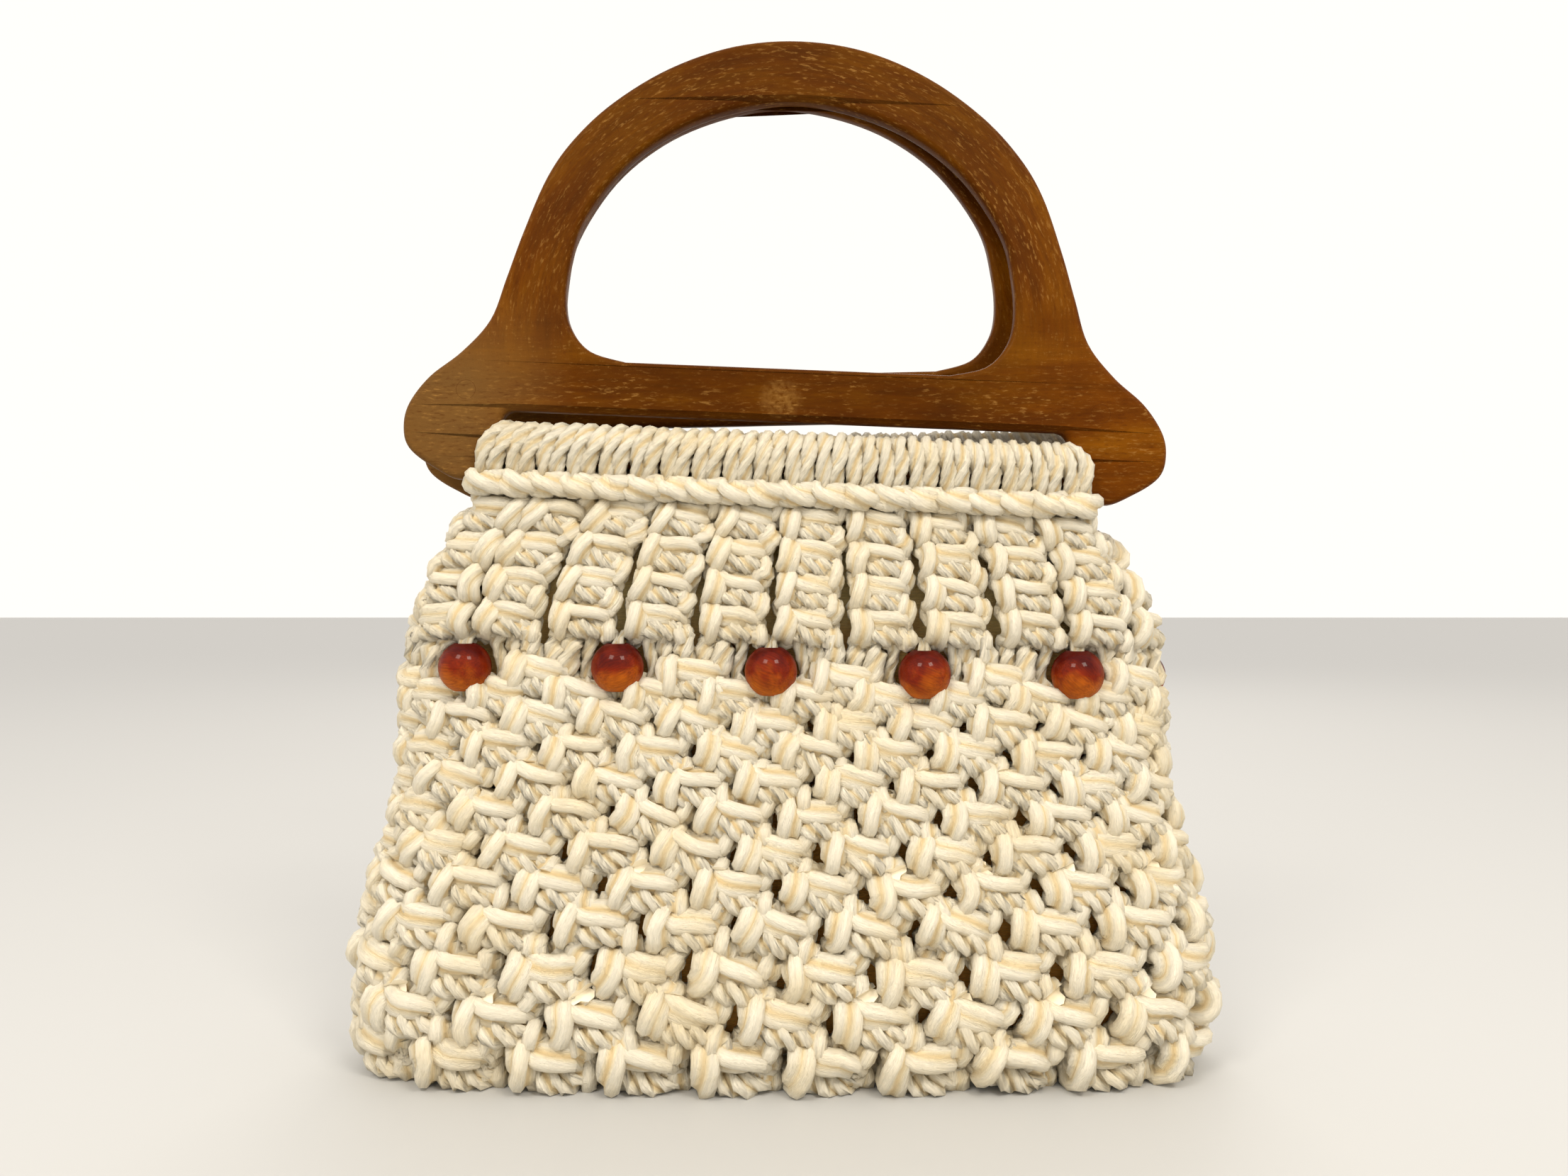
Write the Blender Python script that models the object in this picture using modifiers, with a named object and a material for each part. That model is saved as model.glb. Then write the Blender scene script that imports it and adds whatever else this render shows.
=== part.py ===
"""Macrame handbag: two D-shaped wooden handles, knotted sinnets, wooden beads and a knotted net over a lining.

Metres, +Z up. The bag stands on z = 0 with its middle over the origin, and its front faces -Y.
Seen from the front, +X is to the right.
"""

import functools
import math

import bmesh
import bpy
from mathutils import Matrix, Vector

# Clearances between pieces that touch
GAP = 0.0003
LINING_GAP = 0.0010
LINING_UPPER_GAP = 0.0018

# Cord work: one cord, the row of cords on each lower bar, and the sinnets below it
CORD = 0.005
HEADS = 20
HEAD_PITCH = 0.01024
BUMP_DROP = 0.0058
SINNETS = 10
SINNET_LENGTH = 0.0441
SINNET_THICKNESS = 0.009
SINNET_ROOM = 0.0008
SINNET_WIDTH = 0.0205
SINNET_SLIT = 0.0009
KNOTS_PER_SINNET = 4

# Beads
BEADS = 10
BEAD_DIAMETER = 0.017
BEAD_BORE = 0.006
BEAD_LEVEL = 0.134
BEAD_PROUD = 0.0045
BEAD_SIDES = 10

# Net and lining
COLUMNS = 4 * SINNETS
BODY_WIDTH = 0.276
BODY_DEPTH = 0.056
NET_THICKNESS = 0.009
KNOT_SWELL = 0.0016
TIGHT_DENT = 0.0022
HOLE_ROWS = 6
LINING_THICKNESS = 0.001
LINING_TOP_SHARE = 0.93

# Handles
PLATE_THICKNESS = 0.0065
PLATE_ROUND = 0.0016
HANDLE_RISE = 0.1440
ARCH_BAND = 0.0212
SIDE_BAND = 0.0204
CROSSBAR_HEIGHT = 0.0177
LOWER_BAR_HEIGHT = 0.0095
SLOT_HEIGHT = 0.0086
SLOT_ROUND = 0.0042
SLOT_LENGTH = 0.1892
LOBE_BAND = 0.0326
BAR_SPACING = 0.0245
APEX_GAP = 0.0008
BACK_RAISE = 0.002

# How the bag hangs together: each handle is turned a little in its own plane, the pattern of knots is
# shifted and gathered in front, and the two back corners sag and are drawn forwards
FRONT_TURN = math.radians(2.3)
BACK_TURN = math.radians(-1.3)
PATTERN_SHIFT = -0.0045
FRONT_GATHER = 0.075
CORNER_PLACE = 0.29
CORNER_SPREAD = 0.06
CORNER_SAG = 0.009
CORNER_DRAW = 0.010

# Lengths that follow from the ones above
WRAPS_LENGTH = HEADS * HEAD_PITCH
SINNET_PITCH = WRAPS_LENGTH / SINNETS
HANDLE_HALF_WIDTH = SLOT_LENGTH / 2 + LOBE_BAND
SINNET_FOOT = BEAD_LEVEL + BEAD_DIAMETER / 2 + SINNET_ROOM
SINNET_HEAD = SINNET_FOOT + SINNET_LENGTH
WRAPS_TOP_REACH = LOWER_BAR_HEIGHT / 2 + CORD
WRAPS_TAB_REACH = WRAPS_TOP_REACH + BUMP_DROP
BAR_LEVEL = SINNET_HEAD + GAP + WRAPS_TAB_REACH
SLOT_FLOOR = LOWER_BAR_HEIGHT / 2
SLOT_TOP = SLOT_FLOOR + SLOT_HEIGHT
OPENING_FLOOR = SLOT_TOP + CROSSBAR_HEIGHT
BEAD_HALF_LENGTH = math.sqrt(BEAD_DIAMETER ** 2 - BEAD_BORE ** 2) / 2
NOTCH_FLOOR = BEAD_LEVEL - BEAD_HALF_LENGTH - GAP
MERLON_TOP = SINNET_FOOT - GAP
NET_FLOOR = NET_THICKNESS
LEVEL_BASE = NET_FLOOR + GAP + LINING_THICKNESS
HANDLE_LEAN = math.asin((BAR_SPACING - PLATE_THICKNESS - APEX_GAP) / 2 / HANDLE_RISE)

# Body sections. height: share of BEAD_LEVEL; width, depth: shares of BODY_WIDTH and BODY_DEPTH
BODY_SECTIONS = (
    {"height": 0.00, "width": 0.965, "depth": 1.00},
    {"height": 0.13, "width": 1.000, "depth": 1.07},
    {"height": 0.33, "width": 0.993, "depth": 1.04},
    {"height": 0.51, "width": 0.953, "depth": 0.97},
    {"height": 0.71, "width": 0.908, "depth": 0.87},
    {"height": 0.89, "width": 0.895, "depth": 0.77},
    {"height": 1.00, "width": 0.899, "depth": 0.73},
    {"height": 1.08, "width": 0.890, "depth": 0.70},
)

# Width of cord left round each hole, as a share of the net's cell
HOLE_BORDER = 0.25

# Radius of the body's two ends, as a share of the half depth there
END_ROUND = 0.7

# Heights of the borders between the net's rows of knots, as shares of NOTCH_FLOOR, from the base up
ROW_BORDERS = (0.0, 0.126, 0.238, 0.36, 0.468, 0.556, 0.652, 0.744, 0.822, 0.906, 1.0)

# The row of cells beside the beads, and the rows at whose lower borders the lining has a ring of points too
BEAD_ROW = len(ROW_BORDERS) - 1
LINING_ROWS = (3, 7, 9, BEAD_ROW)

# Outer outline of a handle from the apex to the foot of the lobe.
# x: share of the half width; z: share of the rise, both from the lower bar's centre
HANDLE_OUTLINE = (
    {"x": 0.000, "z": 1.000},
    {"x": 0.176, "z": 0.981},
    {"x": 0.345, "z": 0.922},
    {"x": 0.490, "z": 0.835},
    {"x": 0.591, "z": 0.743},
    {"x": 0.658, "z": 0.648},
    {"x": 0.713, "z": 0.516},
    {"x": 0.752, "z": 0.403},
    {"x": 0.788, "z": 0.303},
    {"x": 0.858, "z": 0.226},
    {"x": 0.938, "z": 0.165},
    {"x": 0.988, "z": 0.101},
    {"x": 1.000, "z": 0.046},
    {"x": 0.983, "z": -0.004},
    {"x": 0.918, "z": -0.046},
    {"x": 0.840, "z": -0.072},
)

# Where the lobe's foot meets the lower bar, and the outline's row at the foot of the arch
LOBE_FOOT_SHARE = 0.755
FOOT_OF_ARCH = 7

# Hand opening from its top to the crossbar. x: share of its half width; z: share of its height
OPENING_OUTLINE = (
    {"x": 0.000, "z": 1.000},
    {"x": 0.263, "z": 0.968},
    {"x": 0.521, "z": 0.884},
    {"x": 0.751, "z": 0.741},
    {"x": 0.930, "z": 0.534},
    {"x": 0.988, "z": 0.360},
    {"x": 1.000, "z": 0.215},
    {"x": 0.968, "z": 0.115},
    {"x": 0.880, "z": 0.035},
    {"x": 0.720, "z": 0.000},
)

# Section of the row of cords round a lower bar. y: share of its half depth; z: share of its reach
WRAPS_SECTION = (
    {"y": 1.00, "z": 0.35},
    {"y": 0.62, "z": 1.00},
    {"y": -0.62, "z": 1.00},
    {"y": -1.00, "z": 0.35},
    {"y": -1.00, "z": -0.42},
    {"y": -0.55, "z": -1.00},
    {"y": 0.55, "z": -1.00},
    {"y": 1.00, "z": -0.42},
)

# Thickness of a sinnet between two knots, as a share of its thickness on a knot
SINNET_NECK = 0.82

# Size of the sleeve between two ribs, as a share of its size on a rib, and how much shorter it is on top
WRAPS_VALLEY = 0.93
WRAPS_TOP_TAPER = 0.07

# Above the beads the cords leave the body's form for the line of the bars: the larger the power, the later.
# At the two ends they change from the front bar to the back one: the larger the value, the more suddenly
BAR_POWER = 1.8
BAR_CHANGE = 200.0

# Steps of the line round the body, the angle above which an edge stays sharp, the distance at which
# vertices are merged, and the tolerance in the flat slab's cells
RING_SAMPLES = 480
SHARP_ANGLE = math.radians(45)
MERGE_DISTANCE = 0.00001
NEAR = 0.01


# Small helpers

def clear_scene():
    for item in list(bpy.data.objects):
        bpy.data.objects.remove(item, do_unlink=True)


def new_collection(name):
    collection = bpy.data.collections.new(name)
    bpy.context.scene.collection.children.link(collection)
    return collection


def new_material(name, colour, roughness):
    material = bpy.data.materials.new(name)
    material.use_nodes = True
    shader = material.node_tree.nodes["Principled BSDF"]
    shader.inputs["Base Color"].default_value = (*colour, 1.0)
    shader.inputs["Roughness"].default_value = roughness
    shader.inputs["Metallic"].default_value = 0.0
    return material


def add_mesh(name, mesh, collection, material=None):
    item = bpy.data.objects.new(name, mesh)
    collection.objects.link(item)
    if material is not None:
        mesh.materials.append(material)
    return item


def mesh_as_is(bm, name):
    mesh = bpy.data.meshes.new(name)
    bm.to_mesh(mesh)
    bm.free()
    return mesh


def mesh_from(bm, name):
    bm.normal_update()
    bmesh.ops.recalc_face_normals(bm, faces=bm.faces[:])
    return mesh_as_is(bm, name)


def smooth(mesh):
    mesh.shade_smooth()
    mesh.set_sharp_from_angle(angle=SHARP_ANGLE)


def cubic(before, start, end, after, share):
    """Catmull-Rom value between start and end."""
    slope_in = (end - before) / 2
    slope_out = (after - start) / 2
    square = share * share
    cube = square * share
    return ((2 * cube - 3 * square + 1) * start + (cube - 2 * square + share) * slope_in
            + (3 * square - 2 * cube) * end + (cube - square) * slope_out)


def rounded(points, steps):
    """A smooth open line through the points, with the given steps between each two."""
    last = len(points) - 1
    line = []
    for index in range(last):
        four = [points[min(max(index + shift, 0), last)] for shift in (-1, 0, 1, 2)]
        for step in range(steps):
            line.append(tuple(cubic(*(point[axis] for point in four), step / steps) for axis in (0, 1)))
    line.append(tuple(points[-1]))
    return line


def turned_bead_profile():
    """The half outline of a bead from its upper bore edge round to the lower one."""
    radius = BEAD_DIAMETER / 2
    start = math.asin(BEAD_BORE / BEAD_DIAMETER)
    steps = BEAD_SIDES // 2 - 1
    turn = (math.pi - 2 * start) / steps
    angles = [start + turn * step for step in range(steps + 1)]
    return [Vector((radius * math.sin(angle), 0, radius * math.cos(angle))) for angle in angles]


# The bag's form: every cord piece, the net and the lining are laid on it

def section_value(column, height):
    """A column of BODY_SECTIONS at a height, on a smooth line through its rows."""
    share = height / BEAD_LEVEL
    rows = BODY_SECTIONS
    last = len(rows) - 1
    index = 0
    while index < last - 1 and share > rows[index + 1]["height"]:
        index += 1
    low, high = rows[index], rows[index + 1]
    place = (share - low["height"]) / (high["height"] - low["height"])
    place = min(max(place, 0.0), 1.0)
    before = rows[max(index - 1, 0)][column]
    after = rows[min(index + 2, last)][column]
    return cubic(before, low[column], high[column], after, place)


@functools.lru_cache(maxsize=None)
def ring(height):
    """Arc length, place and outward direction round the body at a height, from the front's middle to +X."""
    half_width = section_value("width", height) * BODY_WIDTH / 2
    half_depth = section_value("depth", height) * BODY_DEPTH / 2
    round_off = END_ROUND * half_depth
    core_x = half_width - round_off
    core_y = half_depth - round_off
    points = []
    arc = 0.0
    last = None
    for step in range(RING_SAMPLES + 1):
        angle = 2 * math.pi * step / RING_SAMPLES - math.pi / 2
        out = Vector((core_y * math.cos(angle), core_x * math.sin(angle))).normalized()
        place = Vector((core_x * math.cos(angle), core_y * math.sin(angle))) + round_off * out
        if last is not None:
            arc += (place - last).length
        points.append((arc, place, out))
        last = place
    return tuple(points)


def corner_share(turn):
    """1 at the middle of either back corner, fading to 0 away from it."""
    wrapped = abs((turn + 0.5) % 1.0 - 0.5)
    return math.exp(-((wrapped - CORNER_PLACE) / CORNER_SPREAD) ** 2)


def ring_point(turn, height):
    """Place and outward direction at a share of a turn round the body."""
    points = ring(round(height, 7))
    whole = points[-1][0]
    fade = min(height / BEAD_LEVEL, 1.0)
    wave = FRONT_GATHER * math.sin(2 * math.pi * turn) / (2 * math.pi)
    side = 1 if (turn % 1.0) < 0.5 else -1
    draw = (PATTERN_SHIFT - side * CORNER_DRAW * corner_share(turn)) / whole
    arc = (turn + fade * (draw - wave)) % 1.0 * whole
    low, high = 0, len(points) - 1
    while high - low > 1:
        middle = (low + high) // 2
        if points[middle][0] <= arc:
            low = middle
        else:
            high = middle
    share = (arc - points[low][0]) / (points[high][0] - points[low][0])
    place = points[low][1].lerp(points[high][1], share)
    out = points[low][2].lerp(points[high][2], share).normalized()
    return place, out


def bar_point(turn):
    """Place, outward direction and face (1 front, -1 back) under the lower bars at a share of a turn."""
    turn = (turn + 0.25) % 1.0 - 0.25
    along = turn if turn < 0.25 else 0.5 - turn
    face = max(-1.0, min(1.0, BAR_CHANGE * math.cos(2 * math.pi * turn)))
    place = Vector((along * 2 * WRAPS_LENGTH, -face * BAR_SPACING / 2))
    out = Vector((math.copysign(1 - abs(face), along), -face))
    return place, out, face


def form(turn, height, off=0.0):
    """A point of the bag's form, off being the distance outside the middle of its wall."""
    foot = min(height, SINNET_FOOT)
    place, out = ring_point(turn, foot)
    front = 0.5 + 0.5 * math.cos(2 * math.pi * turn)
    if height > foot:
        blend = min((height - foot) / SINNET_LENGTH, 1.0) ** BAR_POWER
        bar_place, bar_out, face = bar_point(turn)
        place = place.lerp(bar_place, blend)
        out = out.lerp(bar_out, blend).normalized()
        front += (0.5 + 0.5 * face - front) * blend
    share = max(height - LEVEL_BASE, 0.0) / (SINNET_HEAD - LEVEL_BASE)
    tilt = (FRONT_TURN * front + BACK_TURN * (1 - front)) * share
    lift = BACK_RAISE * (1 - front) * share
    sag = CORNER_SAG * corner_share(turn) * math.sin(math.pi * min(share, 1.0)) ** 2 * share
    side = place + off * out
    return Vector((side.x, side.y, height - side.x * math.tan(tilt) + lift - sag))


# Handles

def handle_frame(front):
    """Where a handle's own frame lies: its origin is the centre of its lower bar."""
    side = -1 if front else 1
    turn = FRONT_TURN if front else BACK_TURN
    level = BAR_LEVEL + (0 if front else BACK_RAISE)
    place = Matrix.Translation((0, side * BAR_SPACING / 2, level))
    return place @ Matrix.Rotation(turn, 4, "Y"), Matrix.Rotation(side * HANDLE_LEAN, 4, "X")


def both_sides(half):
    """A closed outline from the half at +x, whose first point lies on the middle line."""
    mirrored = [(-x, z) for x, z in reversed(half[1:])]
    return half + mirrored


def handle_outlines():
    """The outer outline, the hand opening and the slot, as closed lines of x and z."""
    outer = [(row["x"] * HANDLE_HALF_WIDTH, row["z"] * HANDLE_RISE) for row in HANDLE_OUTLINE]
    outer.append((LOBE_FOOT_SHARE * HANDLE_HALF_WIDTH, -LOWER_BAR_HEIGHT / 2))
    half_width = HANDLE_OUTLINE[FOOT_OF_ARCH]["x"] * HANDLE_HALF_WIDTH - SIDE_BAND
    height = HANDLE_RISE - ARCH_BAND - OPENING_FLOOR
    opening = [(row["x"] * half_width, OPENING_FLOOR + row["z"] * height) for row in OPENING_OUTLINE]
    slot = []
    steps = 2
    for corner, (side_x, side_z) in enumerate(((1, 1), (-1, 1), (-1, -1), (1, -1))):
        centre_x = side_x * (SLOT_LENGTH / 2 - SLOT_ROUND)
        centre_z = SLOT_FLOOR + SLOT_HEIGHT / 2 + side_z * (SLOT_HEIGHT / 2 - SLOT_ROUND)
        for step in range(steps + 1):
            angle = math.pi / 2 * (corner + step / steps)
            slot.append((centre_x + SLOT_ROUND * math.cos(angle), centre_z + SLOT_ROUND * math.sin(angle)))
    return both_sides(rounded(outer, 2)), both_sides(opening), slot


def plate(name, collection):
    """A flat plate with sharp edges from a filled 2D curve, upright in the handle's own frame."""
    curve = bpy.data.curves.new(name, "CURVE")
    curve.dimensions = "2D"
    curve.fill_mode = "BOTH"
    curve.extrude = PLATE_THICKNESS / 2
    for outline in handle_outlines():
        spline = curve.splines.new("POLY")
        spline.points.add(len(outline) - 1)
        for point, (x, z) in zip(spline.points, outline):
            point.co = (x, z, 0, 1)
        spline.use_cyclic_u = True
    flat = bpy.data.objects.new(name + "_outline", curve)
    collection.objects.link(flat)
    evaluated = flat.evaluated_get(bpy.context.evaluated_depsgraph_get())
    mesh = bpy.data.meshes.new_from_object(evaluated)
    bpy.data.objects.remove(flat)
    bm = bmesh.new()
    bm.from_mesh(mesh)
    bpy.data.meshes.remove(mesh)
    bmesh.ops.remove_doubles(bm, verts=bm.verts[:], dist=MERGE_DISTANCE)
    bm.transform(Matrix.Rotation(math.pi / 2, 4, "X"))
    bm.normal_update()
    return bm


def make_handle(name, front, collection, material):
    """A flat plate, its edges eased."""
    bm = plate(name, collection)
    rims = [edge for edge in bm.edges if edge.calc_face_angle(0) > math.radians(60)
            and abs(edge.verts[0].co.y - edge.verts[1].co.y) < PLATE_THICKNESS / 2]
    bmesh.ops.bevel(bm, geom=rims, offset=PLATE_ROUND, segments=1, affect="EDGES", profile=0.5)
    placed, lean = handle_frame(front)
    bm.transform(placed @ lean)
    mesh = mesh_as_is(bm, name)
    smooth(mesh)
    return add_mesh(name, mesh, collection, material)


# Wraps: the row of cords looped round a lower bar

def make_wraps(name, front, collection, cutters, material):
    """A sleeve with one rib for each looped cord, cut out round the handle with a gap."""
    sides = len(WRAPS_SECTION)
    half_depth = PLATE_THICKNESS / 2 + CORD
    placed, lean = handle_frame(front)
    bm = bmesh.new()
    bmesh.ops.create_cone(bm, cap_ends=True, segments=sides, radius1=1, radius2=1, depth=WRAPS_LENGTH)
    long_edges = [edge for edge in bm.edges if abs(edge.verts[0].co.z - edge.verts[1].co.z) > GAP]
    bmesh.ops.subdivide_edges(bm, edges=long_edges, cuts=2 * HEADS - 1)
    for vert in bm.verts:
        step = round((vert.co.z / WRAPS_LENGTH + 0.5) * 2 * HEADS)
        swell = 1.0 if step % 2 else WRAPS_VALLEY
        corner = round(math.atan2(vert.co.y, vert.co.x) / (2 * math.pi) * sides) % sides
        row = WRAPS_SECTION[corner]
        reach = WRAPS_TOP_REACH if row["z"] > 0 else WRAPS_TAB_REACH
        height = reach * row["z"] * (1.0 if row["z"] == -1.0 else swell)
        along = vert.co.z * (1 - WRAPS_TOP_TAPER * max(row["z"], 0.0))
        vert.co = (along, half_depth * row["y"] * swell, height)
    bm.transform(placed)
    item = add_mesh(name, mesh_from(bm, name), collection, material)

    bore = plate(name, cutters)
    fattened = [vert.co + vert.normal * vert.calc_shell_factor() * GAP for vert in bore.verts]
    for vert, place in zip(bore.verts, fattened):
        vert.co = place
    bore.transform(placed @ lean)
    cutter = add_mesh(name + "_bore", mesh_as_is(bore, name + "_bore"), cutters)
    cutter.display_type = "WIRE"
    cutter.hide_render = True
    cut = item.modifiers.new("Bore", "BOOLEAN")
    cut.operation = "DIFFERENCE"
    cut.solver = "EXACT"
    cut.object = cutter
    return item


# Sinnets: strips of square knots

def make_sinnet(name, turn, collection, material):
    """A flat strip that swells at each knot, laid on the bag's form."""
    bm = bmesh.new()
    bmesh.ops.create_cone(bm, cap_ends=True, segments=6, radius1=1, radius2=1, depth=1)
    long_edges = [edge for edge in bm.edges if abs(edge.verts[0].co.z - edge.verts[1].co.z) > 0.5]
    bmesh.ops.subdivide_edges(bm, edges=long_edges, cuts=2 * KNOTS_PER_SINNET - 1)
    lane = 1.0 / (2 * SINNETS)
    for vert in bm.verts:
        share = vert.co.z + 0.5
        step = round(share * 2 * KNOTS_PER_SINNET)
        swell = 1.0 if step % 2 else SINNET_NECK
        height = SINNET_FOOT + share * SINNET_LENGTH
        flat_side = abs(vert.co.y) / math.sin(math.pi / 3)
        off = math.copysign(flat_side * SINNET_THICKNESS / 2 * swell, vert.co.y)
        pitch = (form(turn + lane / 2, height) - form(turn - lane / 2, height)).length
        width = min(SINNET_WIDTH * (swell + 1) / 2, pitch - SINNET_SLIT)
        vert.co = form(turn + lane * width / pitch / 2 * vert.co.x, height, off)
    mesh = mesh_from(bm, name)
    smooth(mesh)
    return add_mesh(name, mesh, collection, material)


# Beads

def make_bead(name, turn, collection, material):
    """A round bead, drilled upright, turned with a Screw modifier."""
    bm = bmesh.new()
    verts = [bm.verts.new(point) for point in turned_bead_profile()]
    for first, second in zip(verts, verts[1:]):
        bm.edges.new((first, second))
    bm.edges.new((verts[-1], verts[0]))
    mesh = bpy.data.meshes.new(name)
    bm.to_mesh(mesh)
    bm.free()
    item = add_mesh(name, mesh, collection, material)
    item.location = form(turn, NOTCH_FLOOR, BEAD_PROUD) + Vector((0, 0, BEAD_HALF_LENGTH + GAP))
    screw = item.modifiers.new("Turn", "SCREW")
    screw.angle = 2 * math.pi
    screw.steps = BEAD_SIDES
    screw.render_steps = BEAD_SIDES
    screw.use_merge_vertices = True
    screw.merge_threshold = MERGE_DISTANCE
    screw.use_smooth_shade = True
    return item


# Net

def row_levels():
    """Heights of the borders between rows, from the base to the top of the knots beside the beads."""
    return [share * NOTCH_FLOOR for share in ROW_BORDERS] + [MERLON_TOP]


def is_bead_column(column):
    """Beads hang in every other gap between sinnets, two columns wide."""
    return (column // 2) % 2 == 0


def slab_turn(x, row):
    """Where x columns lie round the body: the cells beside the beads are half a column aside of the rest."""
    aside = min(max(row - (BEAD_ROW - 1), 0.0), 1.0)
    return (x - 0.5 - 0.5 * aside) / COLUMNS


def slab(columns, rows):
    """A bmesh grid whose cells are 1 by 1, with its first corner at the origin."""
    bm = bmesh.new()
    bmesh.ops.create_grid(bm, x_segments=columns, y_segments=rows, size=0.5)
    bmesh.ops.translate(bm, verts=bm.verts[:], vec=(0.5, 0.5, 0))
    bmesh.ops.scale(bm, verts=bm.verts[:], vec=(columns, rows, 1))
    return bm


def drop_lower_edge(bm):
    """Open the slab along its lower edge, where the base and the floor go."""
    lower = [face for face in bm.faces if all(vert.co.y < NEAR for vert in face.verts)]
    bmesh.ops.delete(bm, geom=lower, context="FACES")


def close_base(bm):
    """Join the rolled slab's two ends, and close the outer base and the floor inside it."""
    bmesh.ops.remove_doubles(bm, verts=bm.verts[:], dist=MERGE_DISTANCE)
    rims = [edge for edge in bm.edges if edge.is_boundary]
    bmesh.ops.holes_fill(bm, edges=rims, sides=0)
    bmesh.ops.triangulate(bm, faces=[face for face in bm.faces if len(face.verts) > 4])


def drop_ends(bm, columns):
    """Open the slab's two ends, which meet when it is rolled up."""
    ends = [face for face in bm.faces if all(vert.co.x < NEAR for vert in face.verts)
            or all(vert.co.x > columns - NEAR for vert in face.verts)]
    bmesh.ops.delete(bm, geom=ends, context="FACES")


def make_net(collection, material):
    """A flat slab with knots and holes, rolled up onto the bag's form and closed underneath."""
    levels = row_levels()
    rows = len(levels) - 1
    bm = slab(COLUMNS, rows)

    def cell(face):
        centre = face.calc_center_median()
        return int(centre.x), int(centre.y)

    def is_knot(face):
        return cell(face)[1] == BEAD_ROW or sum(cell(face)) % 2 == 1

    notches = [face for face in bm.faces if cell(face)[1] == BEAD_ROW and is_bead_column(cell(face)[0])]
    bmesh.ops.delete(bm, geom=notches, context="FACES")
    gaps = [face for face in bm.faces if not is_knot(face) and cell(face)[1] < HOLE_ROWS]
    bmesh.ops.inset_individual(bm, faces=gaps, thickness=HOLE_BORDER, use_even_offset=True)
    bmesh.ops.delete(bm, geom=gaps, context="FACES")
    bmesh.ops.solidify(bm, geom=bm.faces[:], thickness=-1.0)

    inner = min(vert.co.z for vert in bm.verts)
    bmesh.ops.translate(bm, verts=bm.verts[:], vec=(0, 0, -inner))
    outside = [face for face in bm.faces if all(vert.co.z > 1.0 - NEAR for vert in face.verts)]
    whole = [face for face in outside if abs(face.calc_area() - 1.0) < NEAR]
    knots = [face for face in whole if is_knot(face)]
    dents = [face for face in whole if not is_knot(face)]
    facing = 1 if whole[0].normal.z > 0 else -1
    bmesh.ops.poke(bm, faces=knots, offset=facing * KNOT_SWELL / NET_THICKNESS)
    bmesh.ops.poke(bm, faces=dents, offset=-facing * TIGHT_DENT / NET_THICKNESS)
    drop_lower_edge(bm)
    drop_ends(bm, COLUMNS)

    for vert in bm.verts:
        row = min(int(vert.co.y + NEAR), rows - 1)
        height = levels[row] + (levels[row + 1] - levels[row]) * (vert.co.y - row)
        if vert.co.y < NEAR and vert.co.z < 0.5:
            height = NET_FLOOR
        vert.co = form(slab_turn(vert.co.x, vert.co.y), height, NET_THICKNESS * (vert.co.z - 0.5))
    close_base(bm)
    mesh = mesh_from(bm, "net_body")
    smooth(mesh)
    return add_mesh("net_body", mesh, collection, material)


# Lining

def make_lining(collection, material):
    """A thin open-topped bag just inside the net and the sinnets."""
    top = SINNET_FOOT + SINNET_LENGTH * LINING_TOP_SHARE
    floor = NET_FLOOR + GAP
    rows = [0, *LINING_ROWS, BEAD_ROW + 1]
    levels = [floor, *(row_levels()[row] for row in LINING_ROWS), top]
    bm = slab(COLUMNS, len(levels) - 1)
    bmesh.ops.solidify(bm, geom=bm.faces[:], thickness=-1.0)
    inner = min(vert.co.z for vert in bm.verts)
    bmesh.ops.translate(bm, verts=bm.verts[:], vec=(0, 0, -inner))
    drop_lower_edge(bm)
    drop_ends(bm, COLUMNS)
    for vert in bm.verts:
        row = round(vert.co.y)
        room = LINING_GAP if row < len(levels) - 1 else LINING_UPPER_GAP
        height = levels[row]
        if row == 0 and vert.co.z < 0.5:
            height += LINING_THICKNESS
        off = -NET_THICKNESS / 2 - room - LINING_THICKNESS * (1 - vert.co.z)
        vert.co = form(slab_turn(vert.co.x, rows[row]), height, off)
    close_base(bm)
    mesh = mesh_from(bm, "lining")
    smooth(mesh)
    return add_mesh("lining", mesh, collection, material)


def main():
    clear_scene()
    parts = new_collection("macrame_handbag")
    cutters = new_collection("cutters")
    handle_wood = new_material("handle_wood", (0.22, 0.09, 0.025), 0.35)
    cotton = new_material("cord", (0.86, 0.80, 0.66), 0.8)
    bead_wood = new_material("bead_wood", (0.30, 0.06, 0.015), 0.2)
    cloth = new_material("lining_cloth", (0.46, 0.36, 0.16), 0.85)

    make_handle("front_handle", True, parts, handle_wood)
    make_handle("back_handle", False, parts, handle_wood)
    make_wraps("front_wraps", True, parts, cutters, cotton)
    make_wraps("back_wraps", False, parts, cutters, cotton)
    for index in range(SINNETS):
        across = (index + 0.5 - SINNETS / 2) / (2 * SINNETS)
        make_sinnet(f"front_sinnet_{index + 1:02d}", across, parts, cotton)
        make_sinnet(f"back_sinnet_{index + 1:02d}", 0.5 + across, parts, cotton)
    for index in range(BEADS):
        make_bead(f"bead_{index + 1:02d}", index / BEADS, parts, bead_wood)
    make_net(parts, cotton)
    make_lining(parts, cloth)


main()
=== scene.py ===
# %% [markdown]
# # A macrame handbag, from bare frame to finished picture
#
# The bag has two flat wooden handles shaped like the letter D, and one thick three-ply cord does the rest:
# it is looped round the handles' lower bars, tied in ten flat sinnets a side, threaded with wooden beads,
# and knotted into a net over a cloth lining. The CAD model gives every size and place. This script gives
# the looks, one cell after another, and never moves a CAD part.

# %% Load the frame
import math
import random

import bmesh
import bpy
import numpy as np
from mathutils import Matrix, Vector


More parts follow.
